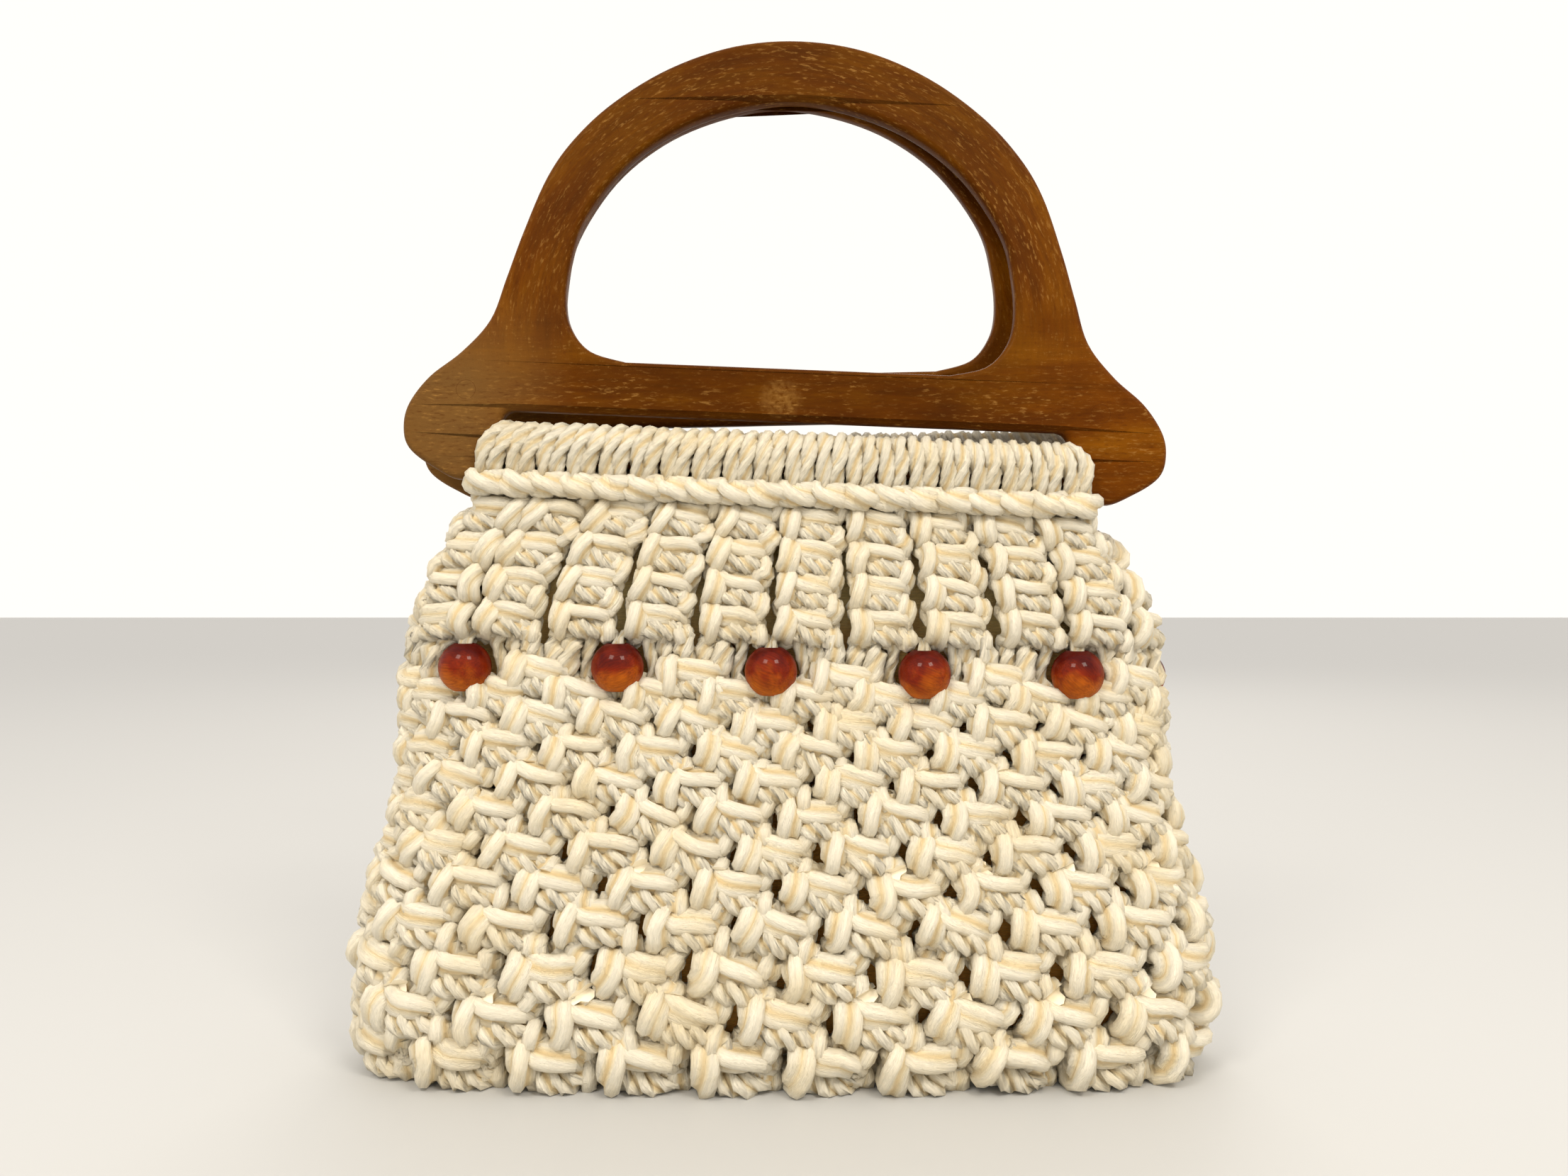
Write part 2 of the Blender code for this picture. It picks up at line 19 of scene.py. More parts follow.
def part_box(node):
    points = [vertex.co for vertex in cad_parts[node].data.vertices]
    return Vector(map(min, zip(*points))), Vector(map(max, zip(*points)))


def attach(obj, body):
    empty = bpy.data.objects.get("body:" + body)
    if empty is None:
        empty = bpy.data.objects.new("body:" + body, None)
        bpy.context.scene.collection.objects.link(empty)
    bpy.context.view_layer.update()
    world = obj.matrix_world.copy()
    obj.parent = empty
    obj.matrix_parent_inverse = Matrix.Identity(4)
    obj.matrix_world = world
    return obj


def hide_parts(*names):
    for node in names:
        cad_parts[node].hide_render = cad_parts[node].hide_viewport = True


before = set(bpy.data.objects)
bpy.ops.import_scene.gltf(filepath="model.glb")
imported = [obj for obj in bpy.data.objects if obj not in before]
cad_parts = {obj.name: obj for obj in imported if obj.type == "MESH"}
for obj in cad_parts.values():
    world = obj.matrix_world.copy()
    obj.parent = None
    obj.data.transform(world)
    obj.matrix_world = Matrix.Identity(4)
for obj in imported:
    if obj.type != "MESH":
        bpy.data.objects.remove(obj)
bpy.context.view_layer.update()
random.seed(7)

# %% [markdown]
# ## Camera, floor and light
#
# The picture was taken with a wide lens from close by, level, and a hand's breadth above the middle of the
# net. A level camera keeps upright lines upright. The floor is one pale sheet. Two large soft lights hang in
# front, left and right, which gives each bead its two highlights, and a bright sky fills the rest.

# %% Camera, floor and light
CAMERA_PLACE = (0.0, -0.406, 0.161)
CAMERA_LENS = 27.03
LAMP_TARGET = (0, 0, 0.15)
LAMP_COLOUR = (1.0, 0.94, 0.84)
SKY_COLOUR = (1.0, 0.955, 0.90)
SKY_STRENGTH = 1.08
FLOOR_COLOUR = (0.53, 0.53, 0.52)
FLOOR_HALF = 6


def new_object(name, data):
    """An object, linked to the scene."""
    item = bpy.data.objects.new(name, data)
    bpy.context.scene.collection.objects.link(item)
    return item


def written(name, bm):
    """A new mesh from a bmesh, which is freed."""
    mesh = bpy.data.meshes.new(name)
    bm.to_mesh(mesh)
    bm.free()
    return mesh


camera_data = bpy.data.cameras.new("camera")
camera_data.sensor_width = 36
camera_data.lens = CAMERA_LENS
camera_data.clip_start = 0.01
camera = new_object("camera", camera_data)
camera.location = CAMERA_PLACE
camera.rotation_euler = (math.pi / 2, 0, 0)
bpy.context.scene.camera = camera


def soft_light(name, place, size, power):
    """A square lamp that faces the middle of the bag."""
    lamp = bpy.data.lights.new(name, "AREA")
    lamp.size = size
    lamp.energy = power
    lamp.color = LAMP_COLOUR
    item = new_object(name, lamp)
    item.location = place
    item.rotation_euler = (Vector(LAMP_TARGET) - Vector(place)).to_track_quat("-Z", "Y").to_euler()


soft_light("key_left", (-0.45, -0.75, 1.0), 0.35, 5.6)
soft_light("key_right", (0.5, -0.8, 1.05), 0.35, 7.2)
soft_light("back_fill", (0.2, 1.3, 1.2), 0.9, 5.0)

world = bpy.data.worlds.new("studio")
world.use_nodes = True
sky = world.node_tree.nodes["Background"]
sky.inputs["Color"].default_value = (*SKY_COLOUR, 1)
sky.inputs["Strength"].default_value = SKY_STRENGTH
bpy.context.scene.world = world
bpy.context.scene.view_settings.view_transform = "Standard"

bm = bmesh.new()
bmesh.ops.create_grid(bm, x_segments=1, y_segments=1, size=FLOOR_HALF)
floor = new_object("floor", written("floor", bm))
floor_paint = bpy.data.materials.new("pale_floor")
floor_paint.use_nodes = True
paint = floor_paint.node_tree.nodes["Principled BSDF"]
paint.inputs["Base Color"].default_value = (*FLOOR_COLOUR, 1)
paint.inputs["Roughness"].default_value = 0.6
floor.data.materials.append(floor_paint)
print("Camera in metres:", CAMERA_PLACE, "lens in mm:", CAMERA_LENS)

# %% [markdown]
# ## The form of the bag
#
# Every knot has to lie on the bag's wall, and the wall is a curved thing: an oval at each height, wider at
# the foot, gathered to two straight bars at the top, hanging a little askew. So the form is worked out once
# as a grid. Its columns are shares of a turn round the bag, from the middle of the front towards +X, and its
# rows are heights. Below the lowest row the grid bends in under the base. A knot then asks the grid where a
# point is, and how far outwards lies outside. The sizes are the ones that the CAD model was built from.

# %% Sizes of the wall
CORD = 0.005
HEADS = 20
HEAD_PITCH = 0.01024
SINNETS = 10
SINNET_LENGTH = 0.0441
KNOTS_PER_SINNET = 4
BEAD_DIAMETER = 0.017
BEAD_LEVEL = 0.134
BODY_WIDTH = 0.276
BODY_DEPTH = 0.056
PLATE_THICKNESS = 0.0065
LOWER_BAR_HEIGHT = 0.0095
BAR_SPACING = 0.0245
BACK_RAISE = 0.002
FRONT_TURN = math.radians(2.3)
BACK_TURN = math.radians(-1.3)
PATTERN_SHIFT = -0.0045
FRONT_GATHER = 0.075
CORNER_PLACE = 0.29
CORNER_SPREAD = 0.06
CORNER_SAG = 0.009
CORNER_DRAW = 0.010
END_ROUND = 0.7
BAR_POWER = 1.8
BAR_CHANGE = 200.0
LEVEL_BASE = 0.0103
GAP = 0.0003
BEAD_ROOM = 0.0008
BUMP_ROOM = 0.0058
SINNET_FOOT = BEAD_LEVEL + BEAD_DIAMETER / 2 + BEAD_ROOM
SINNET_HEAD = SINNET_FOOT + SINNET_LENGTH
BAR_LEVEL = SINNET_HEAD + GAP + LOWER_BAR_HEIGHT / 2 + CORD + BUMP_ROOM
WRAPS_LENGTH = HEADS * HEAD_PITCH

# height: share of BEAD_LEVEL; width, depth: shares of BODY_WIDTH and BODY_DEPTH
BODY_SECTIONS = (
    {"height": 0.00, "width": 0.965, "depth": 1.00},
    {"height": 0.13, "width": 1.000, "depth": 1.07},
    {"height": 0.33, "width": 0.993, "depth": 1.04},
    {"height": 0.51, "width": 0.953, "depth": 0.97},
    {"height": 0.71, "width": 0.908, "depth": 0.87},
    {"height": 0.89, "width": 0.895, "depth": 0.77},
    {"height": 1.00, "width": 0.899, "depth": 0.73},
    {"height": 1.08, "width": 0.890, "depth": 0.70},
)

# Where the wall starts to bend in under the base, the radius of that bend, and how far in the seam lies
EDGE_LEVEL = 0.0090
EDGE_RADIUS = 0.0030
EDGE_ARC = EDGE_RADIUS * math.pi / 2
SEAM_LEVEL = -0.016
SEAM_HALF = 0.11

# The grid's steps
TURN_STEPS = 720
LEVEL_STEP = 0.001
ABOVE_HEADS = 0.004
print("Height of the lower bars in mm:", round(1000 * BAR_LEVEL, 1))


# %% The oval at one height
def cubic(before, start, end, after, share):
    """Catmull-Rom value between start and end."""
    slope_in = (end - before) / 2
    slope_out = (after - start) / 2
    square = share * share
    cube = square * share
    return ((2 * cube - 3 * square + 1) * start + (cube - 2 * square + share) * slope_in
            + (3 * square - 2 * cube) * end + (cube - square) * slope_out)


def section_value(column, height):
    """A column of BODY_SECTIONS at a height, on a smooth line through its rows."""
    share = height / BEAD_LEVEL
    rows = BODY_SECTIONS
    last = len(rows) - 1
    index = 0
    while index < last - 1 and share > rows[index + 1]["height"]:
        index += 1
    low, high = rows[index], rows[index + 1]
    place = min(max((share - low["height"]) / (high["height"] - low["height"]), 0.0), 1.0)
    return cubic(rows[max(index - 1, 0)][column], low[column], high[column],
                 rows[min(index + 2, last)][column], place)


def corner_share(turns):
    """1 at the middle of either back corner, fading to 0 away from it."""
    wrapped = np.abs((turns + 0.5) % 1.0 - 0.5)
    return np.exp(-((wrapped - CORNER_PLACE) / CORNER_SPREAD) ** 2)


def oval(turns, height):
    """Places and outward directions round the body at a height, as two arrays of x and y."""
    half_width = section_value("width", height) * BODY_WIDTH / 2
    half_depth = section_value("depth", height) * BODY_DEPTH / 2
    round_off = END_ROUND * half_depth
    core_x = half_width - round_off
    core_y = half_depth - round_off
    angle = np.linspace(0, 2 * math.pi, TURN_STEPS + 1) - math.pi / 2
    out = np.stack((core_y * np.cos(angle), core_x * np.sin(angle)), axis=1)
    out /= np.linalg.norm(out, axis=1)[:, None]
    place = np.stack((core_x * np.cos(angle), core_y * np.sin(angle)), axis=1) + round_off * out
    arc = np.concatenate(([0], np.cumsum(np.linalg.norm(np.diff(place, axis=0), axis=1))))
    whole = arc[-1]
    fade = min(height / BEAD_LEVEL, 1.0)
    wave = FRONT_GATHER * np.sin(2 * math.pi * turns) / (2 * math.pi)
    side = np.where(turns % 1.0 < 0.5, 1, -1)
    draw = (PATTERN_SHIFT - side * CORNER_DRAW * corner_share(turns)) / whole
    wanted = (turns + fade * (draw - wave)) % 1.0 * whole
    places = np.stack([np.interp(wanted, arc, place[:, axis]) for axis in (0, 1)], axis=1)
    outs = np.stack([np.interp(wanted, arc, out[:, axis]) for axis in (0, 1)], axis=1)
    return places, outs / np.linalg.norm(outs, axis=1)[:, None]


# %% The grid
def bar_line(turns):
    """Places, outward directions and faces (1 front, -1 back) under the lower bars."""
    turns = (turns + 0.25) % 1.0 - 0.25
    along = np.where(turns < 0.25, turns, 0.5 - turns)
    face = np.clip(BAR_CHANGE * np.cos(2 * math.pi * turns), -1, 1)
    place = np.stack((along * 2 * WRAPS_LENGTH, -face * BAR_SPACING / 2), axis=1)
    out = np.stack((np.copysign(1 - np.abs(face), along), -face), axis=1)
    return place, out, face


def wall_row(turns, level):
    """Places and outward directions in space along one row of the grid."""
    height = min(max(level, EDGE_LEVEL), SINNET_FOOT)
    place, out = oval(turns, height)
    front = 0.5 + 0.5 * np.cos(2 * math.pi * turns)
    if level > SINNET_FOOT:
        blend = min((level - SINNET_FOOT) / SINNET_LENGTH, 1.0) ** BAR_POWER
        bar_place, bar_out, face = bar_line(turns)
        place = place + (bar_place - place) * blend
        out = out + (bar_out - out) * blend
        out /= np.linalg.norm(out, axis=1)[:, None]
        front = front + (0.5 + 0.5 * face - front) * blend
    share = max(level - LEVEL_BASE, 0.0) / (SINNET_HEAD - LEVEL_BASE)
    tilt = (FRONT_TURN * front + BACK_TURN * (1 - front)) * share
    lift = BACK_RAISE * (1 - front) * share
    sag = CORNER_SAG * corner_share(turns) * math.sin(math.pi * min(share, 1.0)) ** 2 * share
    upright = level - place[:, 0] * np.tan(tilt) + lift - sag
    down = np.zeros(len(turns))
    if level < EDGE_LEVEL:
        bend = min((EDGE_LEVEL - level) / EDGE_RADIUS, math.pi / 2)
        inside = place - out * EDGE_RADIUS
        middle = np.stack((np.clip(inside[:, 0], -SEAM_HALF, SEAM_HALF), np.zeros(len(turns))), axis=1)
        share = max(EDGE_LEVEL - EDGE_ARC - level, 0.0) / (EDGE_LEVEL - EDGE_ARC - SEAM_LEVEL)
        place = inside + out * EDGE_RADIUS * math.cos(bend) + (middle - inside) * share
        upright = np.full(len(turns), EDGE_LEVEL - EDGE_RADIUS * math.sin(bend))
        out = out * math.cos(bend)
        down = np.full(len(turns), -math.sin(bend))
    return np.column_stack((place, upright)), np.column_stack((out, down))


grid_turns = np.linspace(0, 1, TURN_STEPS + 1)
grid_levels = np.arange(SEAM_LEVEL, SINNET_HEAD + ABOVE_HEADS, LEVEL_STEP)
grid = [wall_row(grid_turns, level) for level in grid_levels]
grid_place = np.array([row[0] for row in grid])
grid_out = np.array([row[1] for row in grid])
print("Wall grid:", grid_place.shape[:2])


def on_wall(turn, level, off=0.0):
    """A point of the bag's wall, off being the distance outside the middle of it."""
    column = (turn % 1.0) * TURN_STEPS
    row = min(max((level - SEAM_LEVEL) / LEVEL_STEP, 0.0), len(grid_levels) - 1.001)
    c, r = int(column), int(row)
    u, v = column - c, row - r
    place, out = ((sheet[r, c] * (1 - u) + sheet[r, c + 1] * u) * (1 - v)
                  + (sheet[r + 1, c] * (1 - u) + sheet[r + 1, c + 1] * u) * v
                  for sheet in (grid_place, grid_out))
    return Vector(place) + off * Vector(out)


# %% [markdown]
# ## The cord
#
# The cord is three soft plies laid round each other. It could be a smooth tube with a painted twist, but its
# outline shows the plies, so they are modelled: the section is a clover with three leaves, swept along a
# Bezier curve, and each point's tilt turns the leaves a little further. The same curve tool does this for
# every cord, and the mesh is taken from it once. One attribute then tells the material where it is on the
# cord: how far along, and how far round.

# %% The cord's section
LEAVES = 3
LEAF_POINTS = 4
LEAF_DEPTH = 0.4
LEAF_POWER = 1.3
LAY = 0.027
CURVE_STEPS = 2
CAP_POINTS = 2 * LEAVES * LEAF_POINTS
SHARP_ANGLE = math.radians(75)

clover = bpy.data.curves.new("clover", "CURVE")
clover.dimensions = "2D"
clover_line = clover.splines.new("POLY")
clover_line.points.add(LEAVES * LEAF_POINTS - 1)
for index, point in enumerate(clover_line.points):
    angle = 2 * math.pi * index / (LEAVES * LEAF_POINTS)
    reach = 1 - LEAF_DEPTH * (1 - abs(math.cos(LEAVES * angle / 2))) ** LEAF_POWER
    point.co = (reach * math.cos(angle), reach * math.sin(angle), 0, 1)
clover_line.use_cyclic_u = True
clover_section = bpy.data.objects.new("clover", clover)
print("Points round the cord:", len(clover_line.points))


# %% Cords along given points
def curve_mesh(name, curve):
    """The mesh that a curve gives, under the same name."""
    helper = new_object(name + "_curve", curve)
    mesh = bpy.data.meshes.new_from_object(helper.evaluated_get(bpy.context.evaluated_depsgraph_get()))
    bpy.data.objects.remove(helper)
    mesh.name = name
    return mesh


def cords(name, paths):
    """One mesh object of cords. A path is a list of points: place, radius and share of the usual twist."""
    curve = bpy.data.curves.new(name, "CURVE")
    curve.dimensions = "3D"
    curve.twist_mode = "MINIMUM"
    curve.resolution_u = CURVE_STEPS
    curve.bevel_mode = "OBJECT"
    curve.bevel_object = clover_section
    curve.use_fill_caps = True
    for path in paths:
        spline = curve.splines.new("BEZIER")
        spline.bezier_points.add(len(path) - 1)
        tilt = random.uniform(0, 2 * math.pi)
        before = path[0][0]
        for point, (place, radius, twist) in zip(spline.bezier_points, path):
            tilt += 2 * math.pi * (place - before).length / LAY * twist
            point.co = place
            point.handle_left_type = point.handle_right_type = "AUTO"
            point.radius = radius
            point.tilt = tilt
            before = place
    mesh = curve_mesh(name, curve)
    mark_cord(mesh, [(len(path) - 1) * CURVE_STEPS + 1 for path in paths])
    mesh.shade_smooth()
    mesh.set_sharp_from_angle(angle=SHARP_ANGLE)
    for vertex in mesh.vertices:
        vertex.co.z = max(vertex.co.z, 0.0)
    piece = new_object(name, mesh)
    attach(piece, "root")
    return piece


def mark_cord(mesh, ring_counts):
    """Write how far along and round the cord each vertex is. The caps of all cords come before the rings."""
    around = LEAVES * LEAF_POINTS
    places = np.empty(3 * len(mesh.vertices))
    mesh.vertices.foreach_get("co", places)
    places = places.reshape(-1, 3)
    lay = np.zeros((len(places), 3))
    angles = 2 * math.pi * np.arange(around) / around
    start = CAP_POINTS * len(ring_counts)
    for index, rings in enumerate(ring_counts):
        stop = start + rings * around
        centres = places[start:stop].reshape(rings, around, 3).mean(axis=1)
        steps = np.linalg.norm(np.diff(centres, axis=0), axis=1)
        along = np.concatenate(([0], np.cumsum(steps))) + index
        lay[start:stop, 0] = np.repeat(along, around)
        lay[start:stop, 1] = np.tile(np.cos(angles), rings)
        lay[start:stop, 2] = np.tile(np.sin(angles), rings)
        start = stop
    mesh.attributes.new("cord_lay", "FLOAT_VECTOR", "POINT").data.foreach_set("vector", lay.ravel())


# %% [markdown]
# ## Knots
#
# A square knot ties two outer cords round two inner ones. Seen from the front, one outer cord crosses to the
# right and back again, and the other goes behind and comes up at the left as a fat upright loop. Each cord's
# way through a knot is a short table: x across, down from the knot's top to its foot, and z outwards, with x
# and z counted in cord diameters. The last column says how much of the cord's twist shows there: where the
# cord crosses to the right its plies lie almost straight, and on the way back they are steep.

# %% One square knot
LEFT_OUTER = (
    {"x": -1.62, "down": 0.04, "z": -0.20, "twist": 1.0},
    {"x": -1.15, "down": 0.20, "z": 0.35, "twist": 0.6},
    {"x": -0.40, "down": 0.27, "z": 0.84, "twist": 0.3},
    {"x": 0.35, "down": 0.28, "z": 0.95, "twist": 0.2},
    {"x": 1.00, "down": 0.31, "z": 0.66, "twist": 0.3},
    {"x": 1.34, "down": 0.42, "z": -0.15, "twist": 1.0},
    {"x": 1.34, "down": 0.60, "z": -0.30, "twist": 1.0},
    {"x": 1.05, "down": 0.75, "z": 0.50, "twist": 1.6},
    {"x": 0.35, "down": 0.74, "z": 0.95, "twist": 1.8},
    {"x": -0.40, "down": 0.71, "z": 0.86, "twist": 1.8},
    {"x": -1.15, "down": 0.78, "z": 0.20, "twist": 1.4},
    {"x": -1.62, "down": 0.96, "z": -0.20, "twist": 1.0},
)
RIGHT_OUTER = (
    {"x": 1.55, "down": 0.00, "z": 0.62, "twist": 1.0},
    {"x": 1.50, "down": 0.16, "z": 0.40, "twist": 1.0},
    {"x": 1.05, "down": 0.30, "z": -0.55, "twist": 1.0},
    {"x": 0.00, "down": 0.28, "z": -0.90, "twist": 1.0},
    {"x": -1.05, "down": 0.20, "z": -0.55, "twist": 1.0},
    {"x": -1.42, "down": 0.12, "z": 0.35, "twist": 0.5},
    {"x": -1.36, "down": 0.22, "z": 1.05, "twist": 0.4},
    {"x": -1.40, "down": 0.46, "z": 1.22, "twist": 0.4},
    {"x": -1.46, "down": 0.68, "z": 1.00, "twist": 0.4},
    {"x": -1.46, "down": 0.82, "z": 0.20, "twist": 0.5},
    {"x": -1.05, "down": 0.78, "z": -0.60, "twist": 1.0},
    {"x": 0.00, "down": 0.70, "z": -0.90, "twist": 1.0},
    {"x": 1.05, "down": 0.64, "z": -0.45, "twist": 1.0},
    {"x": 1.50, "down": 0.76, "z": 0.45, "twist": 1.0},
    {"x": 1.58, "down": 0.92, "z": 0.70, "twist": 1.0},
)
INNER = (
    {"x": 0.5, "down": 0.12, "z": 0.0, "twist": 1.0},
    {"x": 0.5, "down": 0.50, "z": 0.0, "twist": 1.0},
    {"x": 0.5, "down": 0.88, "z": 0.0, "twist": 1.0},
)
KNOT_FLATNESS = 0.84
KNOT_PROUD = 0.0002
KNOT_WOBBLE = 0.05
CORD_SWELL = 1.6
SMALL_TURN = 0.004


def across_wall(turn, level):
    """Metres along the wall for one whole turn, as felt at a point."""
    ahead, behind = on_wall(turn + SMALL_TURN, level), on_wall(turn - SMALL_TURN, level)
    return (ahead - behind).length / (2 * SMALL_TURN)


def square_knot(turn, level, cord, height, mirrored=False, lean=0.0, spread=1.0, flat=1.0):
    """The ways of the four cords through one knot, from left to right, as lists of points."""
    metres = across_wall(turn, level)
    hand = -1 if mirrored else 1
    mirrored_inner = [dict(row, x=-row["x"]) for row in INNER]
    tables = (LEFT_OUTER, mirrored_inner, INNER, RIGHT_OUTER)
    ways = []
    for table in tables:
        way = []
        for row in table:
            x = hand * row["x"] * cord * spread + random.gauss(0, KNOT_WOBBLE) * cord
            down = (row["down"] - 0.5) * height + random.gauss(0, KNOT_WOBBLE) * cord
            z = row["z"] * cord * KNOT_FLATNESS * flat + random.gauss(0, KNOT_WOBBLE / 2) * cord
            across = x * math.cos(lean) - down * math.sin(lean)
            upright = -down * math.cos(lean) - x * math.sin(lean)
            place = on_wall(turn + across / metres, level + upright, z + KNOT_PROUD)
            way.append((place, cord / 2 * CORD_SWELL, row["twist"]))
        ways.append(way)
    return ways[::-1] if mirrored else ways


# %% [markdown]
# ## Following eighty cords
#
# Forty cords are folded over the two bars, so eighty ends hang down, four to a sinnet. A list keeps which
# four cords are at each place round the bag. Every row of the net takes two from the left neighbour and two
# from the right one, which is what makes it a net. The points of each knot are added to the ways of its four
# cords, and a cord's way is cut where the next piece of the bag begins.

# %% The cords' ways
PLACES = 4 * SINNETS
SINNET_CORD = 0.0050
SINNET_KNOT = SINNET_LENGTH / KNOTS_PER_SINNET
END_TUCK = 0.002
END_SHARE = 0.6
ABOVE_HEAD = 0.0015
SINNET_LEAN = 0.03
SINNET_FULL = 0.0205

# Rows of the net from the beads down. level: middle of the knots; cord, height: of one knot, in metres
NET_ROWS = (
    {"level": 0.1305, "cord": 0.0053, "height": 0.0112},
    {"level": 0.1245, "cord": 0.0054, "height": 0.0108},
    {"level": 0.1165, "cord": 0.0056, "height": 0.0112},
    {"level": 0.1068, "cord": 0.0056, "height": 0.0112},
    {"level": 0.0970, "cord": 0.0057, "height": 0.0113},
    {"level": 0.0868, "cord": 0.0057, "height": 0.0114},
    {"level": 0.0755, "cord": 0.0058, "height": 0.0116},
    {"level": 0.0642, "cord": 0.0059, "height": 0.0118},
    {"level": 0.0520, "cord": 0.0061, "height": 0.0124},
    {"level": 0.0375, "cord": 0.0063, "height": 0.0134},
    {"level": 0.0232, "cord": 0.0064, "height": 0.0136},
    {"level": 0.0095, "cord": 0.0064, "height": 0.0128},
    {"level": -0.0035, "cord": 0.0060, "height": 0.0110},
)
BEAD_NODES = [f"bead_{index + 1:02d}" for index in range(10)]
BEAD_CORD = 0.0050
KNOT_LEAN = math.radians(2)
LEAN_SHAKE = 0.07
ROW_SHAKE = 0.0005
TURN_SHAKE = 0.0006
NET_SPREAD = 1.05
NET_STRETCH = 1.04
BASE_FLATNESS = 0.8
SEAM_CORD = 0.006
UNDER_BASE = -0.010

# The two last points of each cord. pull: share of its place across; level; radius: of the cord, in metres
SEAM_POINTS = (
    {"pull": 1.0, "level": UNDER_BASE, "radius": 0.0030},
    {"pull": 0.6, "level": SEAM_LEVEL + 0.001, "radius": 0.0028},
)

ways = {cord: [] for cord in range(PLACES * 2)}
hands = {2 * index + 1: [4 * index + role for role in range(4)] for index in range(2 * SINNETS)}
pieces = {}


def cut(name):
    """Give the ways so far to a piece, and go on from their last point."""
    pieces[name] = [list(way) for way in ways.values() if len(way) > 1]
    for cord, way in ways.items():
        ways[cord] = way[-1:]


def place_number(place):
    """A sinnet's side and number as the CAD nodes count them."""
    across = ((place + 20) % 40 - 20) if (place + 10) % 40 < 20 else place - 20
    side = "front" if (place + 10) % 40 < 20 else "back"
    return side, (across + 11) // 2


for place, four in hands.items():
    turn = place / PLACES
    side, number = place_number(place)
    mirrored = side == "front" and number == 1
    for role, cord in enumerate(four):
        level = SINNET_HEAD + ABOVE_HEAD
        across = (role - 1.5) * SINNET_CORD / across_wall(turn, level)
        ways[cord].append((on_wall(turn + across, level), SINNET_CORD / 2, 1.0))
    for knot in reversed(range(KNOTS_PER_SINNET)):
        level = SINNET_FOOT + (knot + 0.5) * SINNET_KNOT
        spread = min(1.0, across_wall(turn, level) / (2 * SINNETS) / SINNET_FULL)
        knot_ways = square_knot(turn, level, SINNET_CORD, SINNET_KNOT, mirrored,
                                random.gauss(0, SINNET_LEAN), spread)
        for cord, way in zip(four, knot_ways):
            ways[cord] += way
    name = f"{side}_sinnet_{number:02d}"
    inward = (on_wall(turn, SINNET_FOOT) - on_wall(turn, SINNET_FOOT, 1.0)) * END_TUCK
    pieces[name] = []
    for cord in four:
        last, radius, twist = ways[cord][-1]
        tucked = (last + inward, radius * END_SHARE, twist)
        pieces[name].append(ways[cord] + [tucked])
        ways[cord] = [tucked, ways[cord][-1]]
print("Sinnets:", len(pieces), "cords below them:", len(ways))


# %% Past the beads and down the net
BESIDE_SHARE = 0.55
BORE_CORD = 0.003
BORE_OFFSET = 0.0012

# across: share of the cord's reach to the side; rise: above the bead's middle and back: into the bag, in metres
BESIDE_BEAD = (
    {"across": 0.82, "rise": 0.0075, "back": 0.004},
    {"across": 1.00, "rise": 0.0010, "back": 0.005},
    {"across": 0.88, "rise": -0.0060, "back": 0.005},
    {"across": 0.60, "rise": -0.0105, "back": 0.005},
)
THROUGH_BEAD = (
    {"across": 1.00, "rise": 0.0105, "back": 0.004},
    {"across": 1.00, "rise": 0.0060, "back": 0.0},
    {"across": 1.00, "rise": -0.0060, "back": 0.0},
    {"across": 1.00, "rise": -0.0105, "back": 0.004},
)


def past_bead(turn, node):
    """Two cords through a bead and one down each side of it, from left to right."""
    low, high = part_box(node)
    middle = (low + high) / 2
    out = on_wall(turn, middle.z, 1.0) - on_wall(turn, middle.z)
    right = Vector((-out.y, out.x, 0))
    beside = (BESIDE_BEAD, BEAD_DIAMETER / 2 + BEAD_CORD * BESIDE_SHARE, BEAD_CORD / 2)
    through = (THROUGH_BEAD, BORE_OFFSET, BORE_CORD / 2)
    four = []
    for side, (rows, reach, radius) in ((-1, beside), (-1, through), (1, through), (1, beside)):
        four.append([(middle + right * side * reach * row["across"] + Vector((0, 0, row["rise"]))
                      - out * row["back"], radius, 1.0) for row in rows])
    return four


CUT_AFTER = {3: "net_shoulder", 6: "net_upper", 9: "net_middle", 12: "net_lower"}
for index, row in enumerate(NET_ROWS):
    fresh = {}
    start = index % 2
    for place in range(start, PLACES, 2):
        left, right = hands[(place - 1) % PLACES], hands[(place + 1) % PLACES]
        four = [left[2], left[3], right[0], right[1]]
        fresh[place] = four
        turn = place / PLACES
        if index == 0 and place % 4 == 0:
            knot_ways = past_bead(turn, BEAD_NODES[place // 4])
        else:
            lift = random.gauss(0, ROW_SHAKE)
            flat = BASE_FLATNESS if row["level"] < 0 else 1.0
            knot_ways = square_knot(turn + random.gauss(0, TURN_SHAKE), row["level"] + lift, row["cord"],
                                    row["height"] * NET_STRETCH, False,
                                    KNOT_LEAN + random.gauss(0, LEAN_SHAKE), NET_SPREAD, flat)
        for cord, way in zip(four, knot_ways):
            ways[cord] += way
    hands = fresh
    if index in CUT_AFTER:
        cut(CUT_AFTER[index])
for place, four in hands.items():
    for role, cord in enumerate(four):
        across = (role - 1.5) * SEAM_CORD / across_wall(place / PLACES, UNDER_BASE)
        for row in SEAM_POINTS:
            point = on_wall(place / PLACES + across * row["pull"], row["level"])
            ways[cord].append((point, row["radius"], 1.0))
cut("net_seam")
steps = [(b[0] - a[0]).length for group in pieces.values() for way in group for a, b in zip(way, way[1:])]
print("Cord in the knots, metres:", round(sum(steps), 1))

# %% Cords become meshes
cord_pieces = []
for name, group in pieces.items():
    piece = cords(name + "_cords", group)
    if "sinnet" in name:
        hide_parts(name)
    else:
        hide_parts("net_body")
    cord_pieces.append(piece)
print("Vertices in the knots:", sum(len(piece.data.vertices) for piece in cord_pieces))

